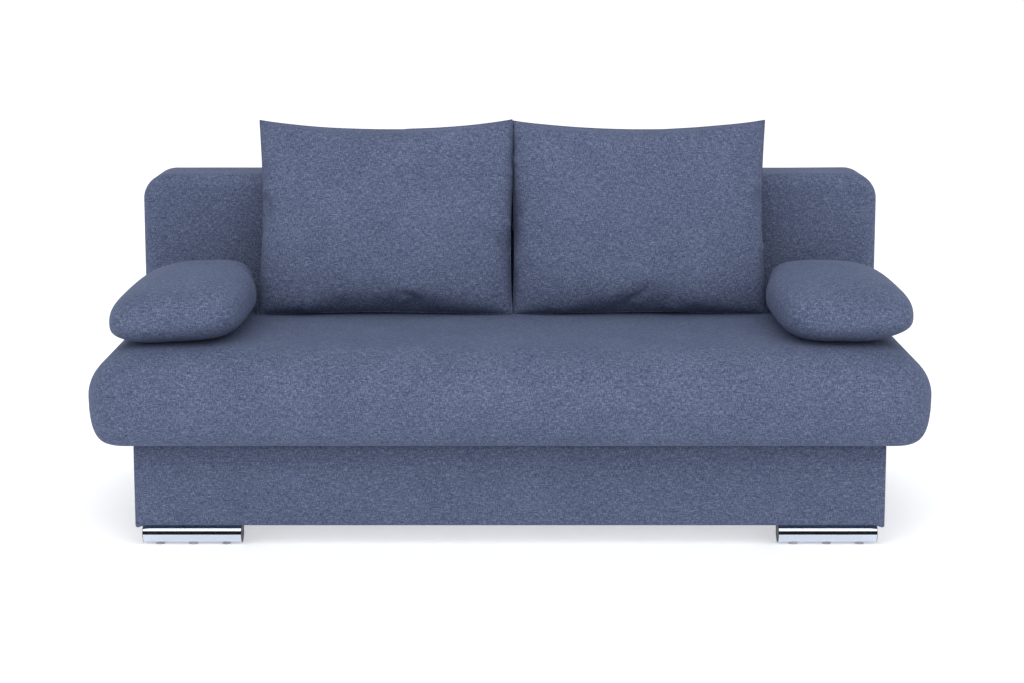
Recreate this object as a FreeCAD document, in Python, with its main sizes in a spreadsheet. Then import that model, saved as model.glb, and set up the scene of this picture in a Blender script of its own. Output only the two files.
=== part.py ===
"""Sofa bed with a bedding box, a pull-forward seat and a fold-down back, in millimetres.

X runs along the width, -Y is the front and +Z is up. The origin is on the floor, at the
middle of the width and depth. The box stands on two chrome tube feet at the front and two
plastic feet at the rear. A steel lift frame is hinged to the box's rear edge, the seat
slides forward in that frame's channels, and the back turns on pins behind the seat.
"""
import FreeCAD, Part
import Sketcher
import os
import re
from FreeCAD import Placement, Rotation, Vector

doc = FreeCAD.newDocument("sofa_bed")

# --- driving dimensions -----------------------------------------------------------------
sheet = doc.addObject("Spreadsheet::Sheet", "Sizes")
SIZES = [
    ("fabric", 2, "upholstery cloth with its backing"),
    ("quilt", 7, "cloth and wadding over the seat and back foam"),
    ("timber", 22, "thickness of the frame timbers"),
    ("board", 18, "thickness of the box boards"),
    ("nose_y", -455, "front of the seat's nose"),
    ("seat_rear", 263, "rear face of the seat"),
    ("seat_half", 978, "half of the seat's width"),
    ("seat_bottom", 259, "underside of the seat's border"),
    ("seat_top", 476, "top of the seat"),
    ("seat_corner", 150, "radius of the seat's front corners, seen from above"),
    ("seat_upper_round", 116, "rounding of the seat's upper edges"),
    ("seat_lower_round", 92, "rounding of the seat's lower edges"),
    ("frame_half", 900, "half of the seat frame's width"),
    ("frame_front", -380, "front face of the seat frame"),
    ("frame_rear", 261, "rear face of the seat frame"),
    ("frame_bottom", 264, "underside of the seat's outer rails"),
    ("frame_top", 380, "top of the seat frame, where the springs lie"),
    ("cross_bottom", 280, "underside of the seat's cross rails"),
    ("rear_rail_bottom", 296, "underside of the seat's rear rail"),
    ("spring_wire", 3.8, "diameter of the zigzag spring wire"),
    ("spring_pitch", 170, "distance from one spring to the next"),
    ("spring_swing", 14, "half of the straight part of a spring's bars"),
    ("spring_inset", 12, "from the frame's edge to the end bar of a spring"),
    ("clip_side", 12, "depth of a spring clip"),
    ("clip_half", 8, "half of a spring clip's width"),
    ("clip_cover", 1.6, "height of a spring clip above its wire"),
    ("felt", 6, "felt between springs and foam"),
    ("back_front", 275, "front face of the back"),
    ("back_rear", 455, "rear face of the back"),
    ("back_half", 953, "half of the back's width"),
    ("back_bottom", 286, "underside of the back"),
    ("back_top", 807, "top of the back"),
    ("back_corner", 85, "radius of the back's top corners"),
    ("back_lower_round", 50, "rounding of the back's lower front edge"),
    ("back_rim_round", 30, "rounding of the back's other long edges"),
    ("back_frame_half", 911, "half of the back frame's width"),
    ("back_frame_top", 763, "top of the back frame"),
    ("back_frame_front", 371, "front face of the back frame"),
    ("back_frame_rear", 451, "rear face of the back frame"),
    ("stile_inner", 791, "inner face of the stile that carries the pivot"),
    ("pivot_y", 385, "back pivot"),
    ("pivot_z", 366, "back pivot"),
    ("pin_radius", 6, "radius of the back pivot pin"),
    ("pin_play", 0.05, "radial play of the pins in their bushes and knuckles"),
    ("pin_head", 4, "overhang and thickness of the pivot pin's head"),
    ("bush_wall", 3, "wall of the nylon bush"),
    ("bracket_reach", 11, "from the pivot to the bracket's edges"),
    ("plate_thickness", 4, "steel side plate on the stile"),
    ("bracket_inner", 821, "inner face of the pivot bracket"),
    ("bracket_outer", 827, "outer face of the pivot bracket"),
    ("box_half", 875, "half of the box's width"),
    ("box_front", -335, "front face of the box"),
    ("box_rear", 435, "rear face of the box"),
    ("box_bottom", 54, "lower edge of the box"),
    ("box_top", 244, "upper edge of the box"),
    ("floor_thickness", 16, "box floor"),
    ("post_side", 36, "side of the square corner posts"),
    ("post_drop", 20, "from the box's upper edge to the top of a post"),
    ("ledge_side", 20, "side of the square floor ledges"),
    ("pad", 4, "rubber rest pads under the lift frame"),
    ("channel_inner", 843, "open side of the slide channel"),
    ("channel_outer", 867, "closed side of the slide channel"),
    ("channel_front", -310, "front end of the slide channel"),
    ("channel_height", 36, "height of the slide channel"),
    ("channel_wall", 2.5, "wall of the slide channel"),
    ("tube", 20, "side of the square cross tubes"),
    ("tube_wall", 2, "wall of the square cross tubes"),
    ("runner_inner", 847, "inner face of the runner bar"),
    ("runner_outer", 857, "outer face of the runner bar"),
    ("runner_bottom", 254, "underside of the runner bar"),
    ("runner_top", 278, "top of the runner bar"),
    ("slide_play", 0.3, "gap between a nylon glide and what it runs on"),
    ("hinge_axis_y", 441, "lift hinge pin"),
    ("hinge_axis_z", 246, "lift hinge pin"),
    ("knuckle_radius", 4.6, "outside of the hinge knuckles"),
    ("hinge_pin_radius", 2.5, "lift hinge pin"),
    ("leaf", 2, "thickness of the hinge leaves"),
    ("leaf_length", 80, "length of the hinge leaves"),
    ("leaf_reach", 20, "height of a hinge leaf"),
    ("hinge_pitch", 560, "distance from one lift hinge to the next"),
    ("knuckle_gap", 0.4, "gap between hinge knuckles"),
    ("foot_length", 232, "length of a chrome foot"),
    ("foot_radius", 25.5, "outside of the foot tube"),
    ("foot_wall", 2, "wall of the foot tube"),
    ("foot_y", -297, "middle of the foot tube"),
    ("glide_height", 3, "plastic glide under the foot tube"),
    ("glide_radius", 10.5, "plastic glide"),
    ("glide_pitch", 78, "distance from one glide to the next"),
    ("foot_set_back", 14, "from the box's side to the foot's outer end"),
    ("cap_lip", 1, "rim of a tube cap"),
    ("cap_plug", 12, "part of a tube cap inside the tube"),
    ("packer_half", 15, "half of the packer's depth"),
    ("packer_inset", 20, "from the foot's end to the packer"),
    ("bolt_radius", 4, "foot bolts"),
    ("bolt_length", 38, "foot bolts"),
    ("bolt_inset", 56, "from the foot's end to its bolt"),
    ("bolt_rise", 12, "from the middle of the tube to the bolt's head"),
    ("head_radius", 7, "corner radius of the bolt's head"),
    ("head_height", 5, "bolt's head"),
    ("nut_radius", 7.5, "corner radius of the nut"),
    ("nut_height", 6.5, "nut on the box floor"),
    ("rear_foot_low", 22, "radius of a rear foot at the floor"),
    ("rear_foot_high", 30, "radius of a rear foot under the box"),
    ("rear_foot_x", 90, "from the box's side to a rear foot"),
    ("rear_foot_y", 80, "from the box's rear to a rear foot"),
    ("strap_width", 60, "elastic webbing strap"),
    ("strap_pitch", 150, "distance from one strap to the next"),
    ("back_cushion_width", 616, "loose back cushion"),
    ("back_cushion_depth", 180, "loose back cushion"),
    ("back_cushion_height", 478, "loose back cushion"),
    ("back_cushion_x", 317.5, "middle of a back cushion"),
    ("back_cushion_y", 126, "middle of a back cushion"),
    ("back_cushion_lean", 19, "lean of a back cushion, in degrees"),
    ("arm_cushion_width", 328, "loose arm cushion"),
    ("arm_cushion_length", 540, "loose arm cushion"),
    ("arm_cushion_height", 138, "loose arm cushion"),
    ("arm_cushion_x", 792, "middle of an arm cushion"),
    ("arm_cushion_y", -75, "middle of an arm cushion"),
    ("arm_cushion_tilt", 3, "outward tilt of an arm cushion, in degrees"),
]
for row, (alias, value, note) in enumerate(SIZES, start=1):
    sheet.set(f"A{row}", note)
    sheet.set(f"B{row}", str(value))
    sheet.setAlias(f"B{row}", alias)
doc.recompute()
ALIASES = {alias for alias, _, _ in SIZES}
SIDES = {"left": -1, "right": 1}


def qualified(expression):
    """The expression with each alias written as a cell of the sheet."""
    return re.sub(r"[a-z_]+", lambda word: f"Sizes.{word[0]}" if word[0] in ALIASES else word[0],
                  str(expression))


def bind(item, **expressions):
    """Bind properties of a document object to expressions in the sheet's aliases."""
    for name, expression in expressions.items():
        item.setExpression(name.replace("__", "."), qualified(expression))


def size(alias):
    """A value from the sheet, for shapes that are worked out in code."""
    return float(sheet.get(alias))


def place(item, x, y, z):
    bind(item, Placement__Base__x=x, Placement__Base__y=y, Placement__Base__z=z)


def span_box(label, x, y, z):
    """A box between two expressions along each axis."""
    item = doc.addObject("Part::Box", label)
    for prop, (low, high) in zip(("Length", "Width", "Height"), (x, y, z)):
        bind(item, **{prop: f"({high}) - ({low})"})
    place(item, x[0], y[0], z[0])
    return item


def sided(sign, low, high):
    """The span low..high of the right side, or its mirror image on the left side."""
    return (low, high) if sign > 0 else (f"-({high})", f"-({low})")


def cylinder(label, radius, length, at, axis="z"):
    """A round bar from the point at, along +X, +Y or +Z."""
    item = doc.addObject("Part::Cylinder", label)
    bind(item, Radius=radius, Height=length)
    turn = {"x": Rotation(Vector(0, 1, 0), 90), "y": Rotation(Vector(1, 0, 0), -90),
            "z": Rotation()}[axis]
    item.Placement = Placement(Vector(), turn)
    place(item, *at)
    return item


def prism(label, radius, height, at):
    """A hexagonal nut or bolt head, standing on the point at."""
    item = doc.addObject("Part::Prism", label)
    item.Polygon = 6
    bind(item, Circumradius=radius, Height=height)
    place(item, *at)
    return item


def cut(label, base, tool):
    item = doc.addObject("Part::Cut", label)
    item.Base, item.Tool = base, tool
    return item


def fuse(label, *members):
    item = doc.addObject("Part::MultiFuse", label)
    item.Shapes = list(members)
    return item


def group(label, members):
    """Separate like solids that share one node."""
    item = doc.addObject("Part::Compound", label)
    item.Links = list(members)
    return item


def origin_plane(body, role):
    return next(plane for plane in body.Origin.OriginFeatures if plane.Role == role)


def value(expression):
    """The number that an expression in the sheet's aliases comes to."""
    return float(sheet.evalExpression(qualified(expression)))


def pin_down(sketch, geometry, point_index, at):
    """Hold a sketch point at a pair of expressions."""
    for kind, expression in zip(("DistanceX", "DistanceY"), at):
        held = Sketcher.Constraint(kind, -1, 1, geometry, point_index, value(expression))
        sketch.setExpression(f"Constraints[{sketch.addConstraint(held)}]", qualified(expression))


def profile_body(label, role, outline, low, high, circles=()):
    """A body padded between two expressions from an outline drawn on an origin plane.

    Each corner of the outline is a pair of expressions, and each circle is a pair for its
    centre and an expression for its radius. The pad runs along +X for YZ_Plane and along
    +Y for XZ_Plane.
    """
    body = doc.addObject("PartDesign::Body", label)
    sketch = body.newObject("Sketcher::SketchObject", f"{label}_outline")
    sketch.AttachmentSupport = (origin_plane(body, role), [""])
    sketch.MapMode = "FlatFace"
    corners = [Vector(value(x), value(y), 0) for x, y in outline]
    count = len(corners)
    for index in range(count):
        sketch.addGeometry(Part.LineSegment(corners[index], corners[(index + 1) % count]), False)
    for index, at in enumerate(outline):
        sketch.addConstraint(Sketcher.Constraint("Coincident", index, 2, (index + 1) % count, 1))
        pin_down(sketch, index, 1, at)
    for centre, radius in circles:
        middle = Vector(value(centre[0]), value(centre[1]), 0)
        ring = sketch.addGeometry(Part.Circle(middle, Vector(0, 0, 1), value(radius)), False)
        pin_down(sketch, ring, 3, centre)
        held = sketch.addConstraint(Sketcher.Constraint("Radius", ring, value(radius)))
        sketch.setExpression(f"Constraints[{held}]", qualified(radius))
    pad = body.newObject("PartDesign::Pad", f"{label}_pad")
    pad.Profile = sketch
    bind(pad, Length=f"({high}) - ({low})")
    if role == "XZ_Plane":
        pad.Reversed = True
        place(body, 0, low, 0)
    else:
        place(body, low, 0, 0)
    return body


NODES = {}


def node(name, item):
    """Give a finished sub-part its name."""
    item.Label = name
    NODES[name] = item
    return item


# --- bedding box: boards, floor, cloth --------------------------------------------------
skin = "box_half - fabric"
front_board = ("box_front + fabric", "box_front + fabric + board")
rear_board = ("box_rear - fabric - board", "box_rear - fabric")
board_height = ("box_bottom + fabric", "box_top")
inner_depth = (front_board[1], rear_board[0])
inner_half = f"{skin} - board"

node("box_front_board", span_box("BoxFront", (f"-({skin})", skin), front_board, board_height))
node("box_rear_board", span_box("BoxRear", (f"-({skin})", skin), rear_board, board_height))
node("box_end_boards", group("BoxEnds", [
    span_box(f"Box_{side}", sided(sign, inner_half, skin), inner_depth, board_height)
    for side, sign in SIDES.items()]))

# Corner posts and ledges stand inside the boards, above the floor.
floor_top = "box_bottom + fabric + floor_thickness"
foot_outer = "box_half - foot_set_back"
foot_span = (f"{foot_outer} - foot_length", foot_outer)
posts, ledges = [], []
for end, depth in (("front", (inner_depth[0], f"{inner_depth[0]} + post_side")),
                   ("rear", (f"{inner_depth[1]} - post_side", inner_depth[1]))):
    for side, sign in SIDES.items():
        posts.append(span_box(f"Post_{end}_{side}", sided(sign, f"{inner_half} - post_side", inner_half),
                              depth, (floor_top, "box_top - post_drop")))
# The front ledge stops short of the foot bolts and their nuts.
for end, reach, depth in (
        ("front", foot_span[0], (inner_depth[0], f"{inner_depth[0]} + ledge_side")),
        ("rear", f"{inner_half} - post_side", (f"{inner_depth[1]} - ledge_side", inner_depth[1]))):
    ledges.append(span_box(f"Ledge_{end}", (f"-({reach})", reach), depth,
                           (floor_top, f"{floor_top} + ledge_side")))
node("box_corner_posts", group("Posts", posts))
node("box_floor_ledges", group("Ledges", ledges))

outside = span_box("CoverOutside", ("-box_half", "box_half"), ("box_front", "box_rear"),
                   ("box_bottom", "box_top"))
inside = span_box("CoverInside", (f"-({skin})", skin), (front_board[0], rear_board[1]),
                  ("box_bottom - 1", "box_top + 1"))
node("box_cover", cut("BoxCover", outside, inside))

# --- feet -------------------------------------------------------------------------------
foot_z = "glide_height + foot_radius"
bolt_places = (f"{foot_span[0]} + bolt_inset", f"{foot_span[1]} - bolt_inset")
tube_blanks, caps, glides, packers, bolts, nuts = [], [], [], [], [], []
for side, sign in SIDES.items():
    low, high = sided(sign, *foot_span)
    shell = cylinder(f"Tube_{side}", "foot_radius", "foot_length - 2 * cap_lip",
                     (f"{low} + cap_lip", "foot_y", foot_z), "x")
    hollow = cylinder(f"TubeHollow_{side}", "foot_radius - foot_wall", "foot_length",
                      (low, "foot_y", foot_z), "x")
    tube_blanks.append(cut(f"TubeRing_{side}", shell, hollow))
    for end, lip_x, plug_x in (("low", low, f"{low} + cap_lip"),
                               ("high", f"{high} - cap_lip", f"{high} - cap_lip - cap_plug")):
        lip = cylinder(f"CapLip_{side}_{end}", "foot_radius", "cap_lip", (lip_x, "foot_y", foot_z), "x")
        plug = cylinder(f"CapPlug_{side}_{end}", "foot_radius - foot_wall", "cap_plug",
                        (plug_x, "foot_y", foot_z), "x")
        caps.append(fuse(f"Cap_{side}_{end}", lip, plug))
    middle = f"({low} + {high}) / 2"
    for step in (-1, 0, 1):
        glides.append(cylinder(f"Glide_{side}_{step + 1}", "glide_radius", "glide_height + foot_wall * 2",
                               (f"{middle} + {step} * glide_pitch", "foot_y", 0)))
    packers.append(span_box(f"Packer_{side}", (f"{low} + packer_inset", f"{high} - packer_inset"),
                            ("foot_y - packer_half", "foot_y + packer_half"),
                            (f"{foot_z} + foot_radius / 2", "box_bottom + fabric")))
    for index, bolt_x in enumerate(bolt_places):
        bolt_x = bolt_x if sign > 0 else f"-({bolt_x})"
        foot = (bolt_x, "foot_y", f"{foot_z} + bolt_rise")
        shank = cylinder(f"Shank_{side}_{index}", "bolt_radius", "bolt_length", foot)
        head = prism(f"Head_{side}_{index}", "head_radius", "head_height", foot)
        bolts.append(fuse(f"Bolt_{side}_{index}", shank, head))
        nuts.append(prism(f"Nut_{side}_{index}", "nut_radius", "nut_height",
                          (bolt_x, "foot_y", floor_top)))
bolt_group = group("FootBolts", bolts)
glide_blanks = group("GlideBlanks", glides)
tube_solid = [cylinder(f"TubeSolid_{side}", "foot_radius", "foot_length",
                       (sided(sign, *foot_span)[0], "foot_y", foot_z), "x")
              for side, sign in SIDES.items()]
tube_solids = group("TubeSolids", tube_solid)
node("front_foot_tubes", cut("FootTubes", cut("FootTubesBored", group("TubeRings", tube_blanks),
                                              bolt_group), glide_blanks))
node("front_foot_caps", group("FootCaps", caps))
node("foot_glides", cut("FootGlides", glide_blanks, group("TubeHollows", [
    cylinder(f"GlideStop_{side}", "foot_radius - foot_wall", "foot_length",
             (sided(sign, *foot_span)[0], "foot_y", foot_z), "x") for side, sign in SIDES.items()])))
node("front_foot_packers", cut("FootPackers", cut("FootPackersShaped", group("PackerBlocks", packers),
                                                  tube_solids), bolt_group))
node("foot_bolts", bolt_group)
node("foot_nuts", cut("FootNuts", group("NutBlanks", nuts), bolt_group))
floor_board = span_box("FloorBoard", (f"-({inner_half})", inner_half), inner_depth,
                       ("box_bottom + fabric", floor_top))
node("box_floor", cut("BoxFloor", floor_board, bolt_group))

rear_feet = []
for side, sign in SIDES.items():
    foot = doc.addObject("Part::Cone", f"RearFoot_{side}")
    bind(foot, Radius1="rear_foot_low", Radius2="rear_foot_high", Height="box_bottom + fabric")
    place(foot, f"{sign} * (box_half - rear_foot_x)", "box_rear - rear_foot_y", 0)
    rear_feet.append(foot)
node("rear_feet", group("RearFeet", rear_feet))

# --- lift frame: channels, cross tubes, stops, glides, pads -----------------------------
channel_low = "box_top + pad"
channel_high = f"{channel_low} + channel_height"
for side, sign in SIDES.items():
    x = {name: (name if sign > 0 else f"-{name}") for name in ("channel_inner", "channel_outer")}
    web = "channel_outer - channel_wall" if sign > 0 else "-channel_outer + channel_wall"
    outline = [(x["channel_inner"], channel_low), (x["channel_outer"], channel_low),
               (x["channel_outer"], channel_high), (x["channel_inner"], channel_high),
               (x["channel_inner"], f"{channel_high} - channel_wall"),
               (web, f"{channel_high} - channel_wall"),
               (web, f"{channel_low} + channel_wall"),
               (x["channel_inner"], f"{channel_low} + channel_wall")]
    node(f"slide_channel_{side}", profile_body(f"Channel_{side}", "XZ_Plane", outline,
                                               "channel_front", "box_rear"))

cross_tubes = []
for end, depth in (("front", ("channel_front", "channel_front + tube")),
                   ("rear", ("box_rear - tube", "box_rear"))):
    tube = span_box(f"CrossTube_{end}", ("-channel_inner", "channel_inner"), depth,
                    (channel_low, f"{channel_low} + tube"))
    bore = span_box(f"CrossBore_{end}", ("-channel_inner - 1", "channel_inner + 1"),
                    (f"{depth[0]} + tube_wall", f"{depth[1]} - tube_wall"),
                    (f"{channel_low} + tube_wall", f"{channel_low} + tube - tube_wall"))
    cross_tubes.append(cut(f"LiftTube_{end}", tube, bore))
node("lift_cross_tubes", group("LiftTubes", cross_tubes))

pads, stops, channel_glides = [], [], []
for side, sign in SIDES.items():
    for end, y in (("front", "channel_front + 60"), ("rear", "box_rear - 120")):
        pads.append(span_box(f"Pad_{side}_{end}", sided(sign, inner_half, "channel_outer"),
                             (y, f"{y} + 40"), ("box_top", channel_low)))
    stops.append(span_box(f"Stop_{side}", sided(sign, "runner_inner", "runner_outer"),
                          ("box_rear - 33", "box_rear - 25"),
                          (f"{channel_low} + channel_wall", f"{channel_high} - channel_wall")))
    channel_glides.append(span_box(f"ChannelGlide_{side}", sided(sign, "runner_inner", "runner_outer"),
                                   ("channel_front + 5", "channel_front + 45"),
                                   (f"{channel_low} + channel_wall", "runner_bottom - slide_play")))
node("lift_rest_pads", group("RestPads", pads))
node("slide_stops", group("SlideStops", stops))
node("channel_glides", group("ChannelGlides", channel_glides))

# --- lift hinges: fixed leaf on the rear board, moving leaf on the rear tube ------------
fixed_leaves, moving_leaves, hinge_pins = [], [], []
leaf_face = ("box_rear", "box_rear + leaf")
for index, step in enumerate((-1, 0, 1)):
    start = f"{step} * hinge_pitch - leaf_length / 2"
    third = "leaf_length / 3"
    pin_at = (start, "hinge_axis_y", "hinge_axis_z")
    bore = cylinder(f"KnuckleBore_{index}", "hinge_pin_radius + pin_play", "leaf_length", pin_at, "x")
    hinge_pins.append(cylinder(f"HingePin_{index}", "hinge_pin_radius", "leaf_length", pin_at, "x"))
    fixed = [span_box(f"FixedLeaf_{index}", (start, f"{start} + leaf_length"), leaf_face,
                      ("hinge_axis_z - knuckle_radius - leaf_reach", "hinge_axis_z - knuckle_radius"))]
    for part, offset in enumerate((0, 2)):
        from_x = f"{start} + {offset} * {third}" + (" + knuckle_gap" if offset else "")
        length = f"{third} - knuckle_gap"
        fixed.append(cylinder(f"FixedKnuckle_{index}_{part}", "knuckle_radius", length,
                              (from_x, "hinge_axis_y", "hinge_axis_z"), "x"))
        fixed.append(span_box(f"FixedWeb_{index}_{part}", (from_x, f"{from_x} + {length}"), leaf_face,
                              ("hinge_axis_z - knuckle_radius - 1", "hinge_axis_z")))
    fixed_leaves.append(cut(f"Fixed_{index}", fuse(f"FixedBlank_{index}", *fixed), bore))
    moving = [span_box(f"MovingLeaf_{index}", (start, f"{start} + leaf_length"), leaf_face,
                       ("hinge_axis_z + knuckle_radius + 0.5",
                        "hinge_axis_z + knuckle_radius + leaf_reach - 3"))]
    from_x = f"{start} + {third} + knuckle_gap"
    length = f"{third} - 2 * knuckle_gap"
    moving.append(cylinder(f"MovingKnuckle_{index}", "knuckle_radius", length,
                           (from_x, "hinge_axis_y", "hinge_axis_z"), "x"))
    moving.append(span_box(f"MovingWeb_{index}", (from_x, f"{from_x} + {length}"), leaf_face,
                           ("hinge_axis_z", "hinge_axis_z + knuckle_radius + 1")))
    moving_leaves.append(cut(f"Moving_{index}", fuse(f"MovingBlank_{index}", *moving), bore))
node("lift_hinge_fixed_leaves", group("FixedLeaves", fixed_leaves))
node("lift_hinge_moving_leaves", group("MovingLeaves", moving_leaves))
node("lift_hinge_pins", group("HingePins", hinge_pins))

# --- seat carriage: runners, glides, spacers, pivot brackets and pins -------------------
runner_rear = "pivot_y + 16"
spacer_places = ("channel_front + 40", "channel_front + 220", "channel_front + 400", "pivot_y - 15")
runners, runner_glides, spacers, brackets, pins = [], [], [], [], []
for side, sign in SIDES.items():
    bar_x = sided(sign, "runner_inner", "runner_outer")
    runners.append(span_box(f"Runner_{side}", bar_x, ("channel_front + 10", runner_rear),
                            ("runner_bottom", "runner_top")))
    glide_y = ("pivot_y - 60", "pivot_y")
    runner_glides.append(span_box(f"GlideUnder_{side}", bar_x, glide_y,
                                  (f"{channel_low} + channel_wall + slide_play", "runner_bottom")))
    runner_glides.append(span_box(f"GlideOver_{side}", bar_x, glide_y,
                                  ("runner_top", f"{channel_high} - channel_wall - slide_play")))
    for index, y in enumerate(spacer_places):
        spacers.append(span_box(f"Spacer_{side}_{index}", sided(sign, "bracket_outer", "runner_inner"),
                                (y, f"{y} + 30"), ("cross_bottom - 8", "cross_bottom")))
    low, high = sided(sign, "bracket_inner", "bracket_outer")
    near, far = "pivot_y - bracket_reach", "pivot_y + bracket_reach"
    outline = [(near, "runner_bottom + 2"), (far, "runner_bottom + 2"),
               (far, "pivot_z + bracket_reach"), (near, "pivot_z + bracket_reach")]
    brackets.append(profile_body(f"Bracket_{side}", "YZ_Plane", outline, low, high,
                                 [(("pivot_y", "pivot_z"), "pin_radius")]))
    shank_x = sided(sign, "stile_inner + 2", "bracket_outer")
    shank = cylinder(f"PivotShank_{side}", "pin_radius", "bracket_outer - stile_inner - 2",
                     (shank_x[0], "pivot_y", "pivot_z"), "x")
    head_x = sided(sign, "bracket_outer", "bracket_outer + pin_head")
    head = cylinder(f"PivotHead_{side}", "pin_radius + pin_head", "pin_head",
                    (head_x[0], "pivot_y", "pivot_z"), "x")
    pins.append(fuse(f"PivotPin_{side}", shank, head))
node("seat_runners", group("Runners", runners))
node("runner_glides", group("RunnerGlides", runner_glides))
node("runner_spacers", group("RunnerSpacers", spacers))
node("back_pivot_brackets", group("PivotBrackets", brackets))
node("back_pivot_pins", group("PivotPins", pins))

# --- seat frame -------------------------------------------------------------------------
rail_inner = ("frame_front + timber", "frame_rear - timber")
node("seat_front_rail", span_box("SeatFront", ("-frame_half", "frame_half"),
                                 ("frame_front", rail_inner[0]), ("frame_bottom", "frame_top")))
node("seat_rear_rail", span_box("SeatRear", ("-frame_half", "frame_half"),
                                (rail_inner[1], "frame_rear"), ("rear_rail_bottom", "frame_top")))
for name, outer, low in (("seat_end_rails", "frame_half", "frame_bottom"),
                         ("seat_runner_rails", "bracket_outer", "cross_bottom")):
    node(name, group(f"{name}_pair", [
        span_box(f"{name}_{side}", sided(sign, f"{outer} - timber", outer), rail_inner,
                 (low, "frame_top")) for side, sign in SIDES.items()]))
cross_pitch = 400
cross_rails = [span_box(f"CrossRail_{step + 1}", (f"{step * cross_pitch} - timber / 2",
                                                 f"{step * cross_pitch} + timber / 2"),
                        rail_inner, ("cross_bottom", "frame_top")) for step in (-1, 0, 1)]
node("seat_cross_rails", group("CrossRails", cross_rails))
node("seat_dust_cloth", span_box("DustCloth", ("-bracket_outer", "bracket_outer"), rail_inner,
                                 ("cross_bottom - 1.2", "cross_bottom")))


def zigzag_path(length, swing, bends, z):
    """A flat wire path along +Y: straight bars across, joined by half circles."""
    radius = length / (2 * bends)
    bars, turns = [], []
    for index in range(bends + 1):
        y = 2 * radius * index
        left, right = Vector(-swing, y, z), Vector(swing, y, z)
        forward = index % 2 == 0
        bars.append(Part.LineSegment(*((left, right) if forward else (right, left))).toShape())
        if index < bends:
            side = 1 if forward else -1
            start = Vector(side * swing, y, z)
            crown = Vector(side * (swing + radius), y + radius, z)
            turns.append(Part.Arc(start, crown, Vector(side * swing, y + 2 * radius, z)).toShape())
    ordered = [edge for pair in zip(bars, turns) for edge in pair] + [bars[-1]]
    return Part.Wire(ordered)


# Zigzag springs run from the front rail to the rear rail, and steel clips hold their ends.
wire_radius = size("spring_wire") / 2
spring_z = size("frame_top") + wire_radius + 0.1
spring_start = size("frame_front") + size("spring_inset")
spring_length = size("frame_rear") - size("spring_inset") - spring_start
path = zigzag_path(spring_length, size("spring_swing"), bends=13, z=0)
ring = Part.Wire(Part.Circle(Vector(-size("spring_swing"), 0, 0), Vector(1, 0, 0), wire_radius).toShape())
one_spring = path.makePipeShell([ring], True, False)
spring_places = [size("spring_pitch") * step for step in range(-5, 6)]
springs = doc.addObject("Part::Feature", "Springs")
springs.Shape = Part.makeCompound([one_spring.translated(Vector(x, spring_start, spring_z))
                                   for x in spring_places])
node("seat_springs", springs)
clip_blanks = []
for column, x in enumerate(spring_places):
    for end, y in (("front", "frame_front + spring_inset"), ("rear", "frame_rear - spring_inset")):
        clip_blanks.append(span_box(f"Clip_{column}_{end}", (f"{x} - clip_half", f"{x} + clip_half"),
                                    (f"{y} - clip_side / 2", f"{y} + clip_side / 2"),
                                    ("frame_top", "frame_top + spring_wire + clip_cover")))
node("spring_clips", cut("SpringClips", group("ClipBlanks", clip_blanks), springs))

felt_bottom = "frame_top + spring_wire + 2"
felt_top = f"{felt_bottom} + felt"
node("seat_felt", span_box("Felt", ("-frame_half", "frame_half"), ("frame_front", "frame_rear"),
                           (felt_bottom, felt_top)))


# --- seat foam and cover ----------------------------------------------------------------
def nosed_slab(inset):
    """The seat's outer form, moved inwards: round nose and ends, square at the rear."""
    half = size("seat_half") - inset
    front, rear = size("nose_y") + inset, size("seat_rear") - inset
    low, high = size("seat_bottom") + inset, size("seat_top") - inset
    slab = Part.makeBox(2 * half, rear - front, high - low, Vector(-half, front, low))
    uprights = [edge for edge in slab.Edges
                if edge.BoundBox.ZLength > 1 and edge.BoundBox.YMax < front + 1]
    slab = slab.makeFillet(size("seat_corner") - inset, uprights)
    for level, radius in ((high, size("seat_upper_round") - inset),
                          (low, size("seat_lower_round") - inset)):
        border = [edge for edge in slab.Edges
                  if edge.BoundBox.ZLength < 0.01 and abs(edge.BoundBox.ZMin - level) < 0.01
                  and edge.BoundBox.YMin < rear - 1]
        slab = slab.makeFillet(radius, border)
    return slab


def between(x, y, z):
    """A plain box between pairs of numbers."""
    return Part.makeBox(x[1] - x[0], y[1] - y[0], z[1] - z[0], Vector(x[0], y[0], z[0]))


def soft_node(name, shape):
    item = doc.addObject("Part::Feature", name)
    item.Shape = shape
    return node(name, item)


thick = size("fabric")
quilt = size("quilt")
play = 0.2
frame_x = (-size("frame_half") - play, size("frame_half") + play)
frame_y = size("frame_front") - play
under = size("seat_bottom") - 5
foam_hollow = between(frame_x, (frame_y, size("seat_rear") + 5), (under, value(felt_top)))
soft_node("seat_foam", nosed_slab(quilt).cut(foam_hollow))
cloth_hollow = between(frame_x, (frame_y, size("frame_rear")), (under, value(felt_top)))
rear_gap = between(frame_x, (frame_y, size("seat_rear") + 5), (under, size("rear_rail_bottom")))
soft_node("seat_cover", nosed_slab(0).cut(nosed_slab(quilt - 0.1)).cut(cloth_hollow).cut(rear_gap))

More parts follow.
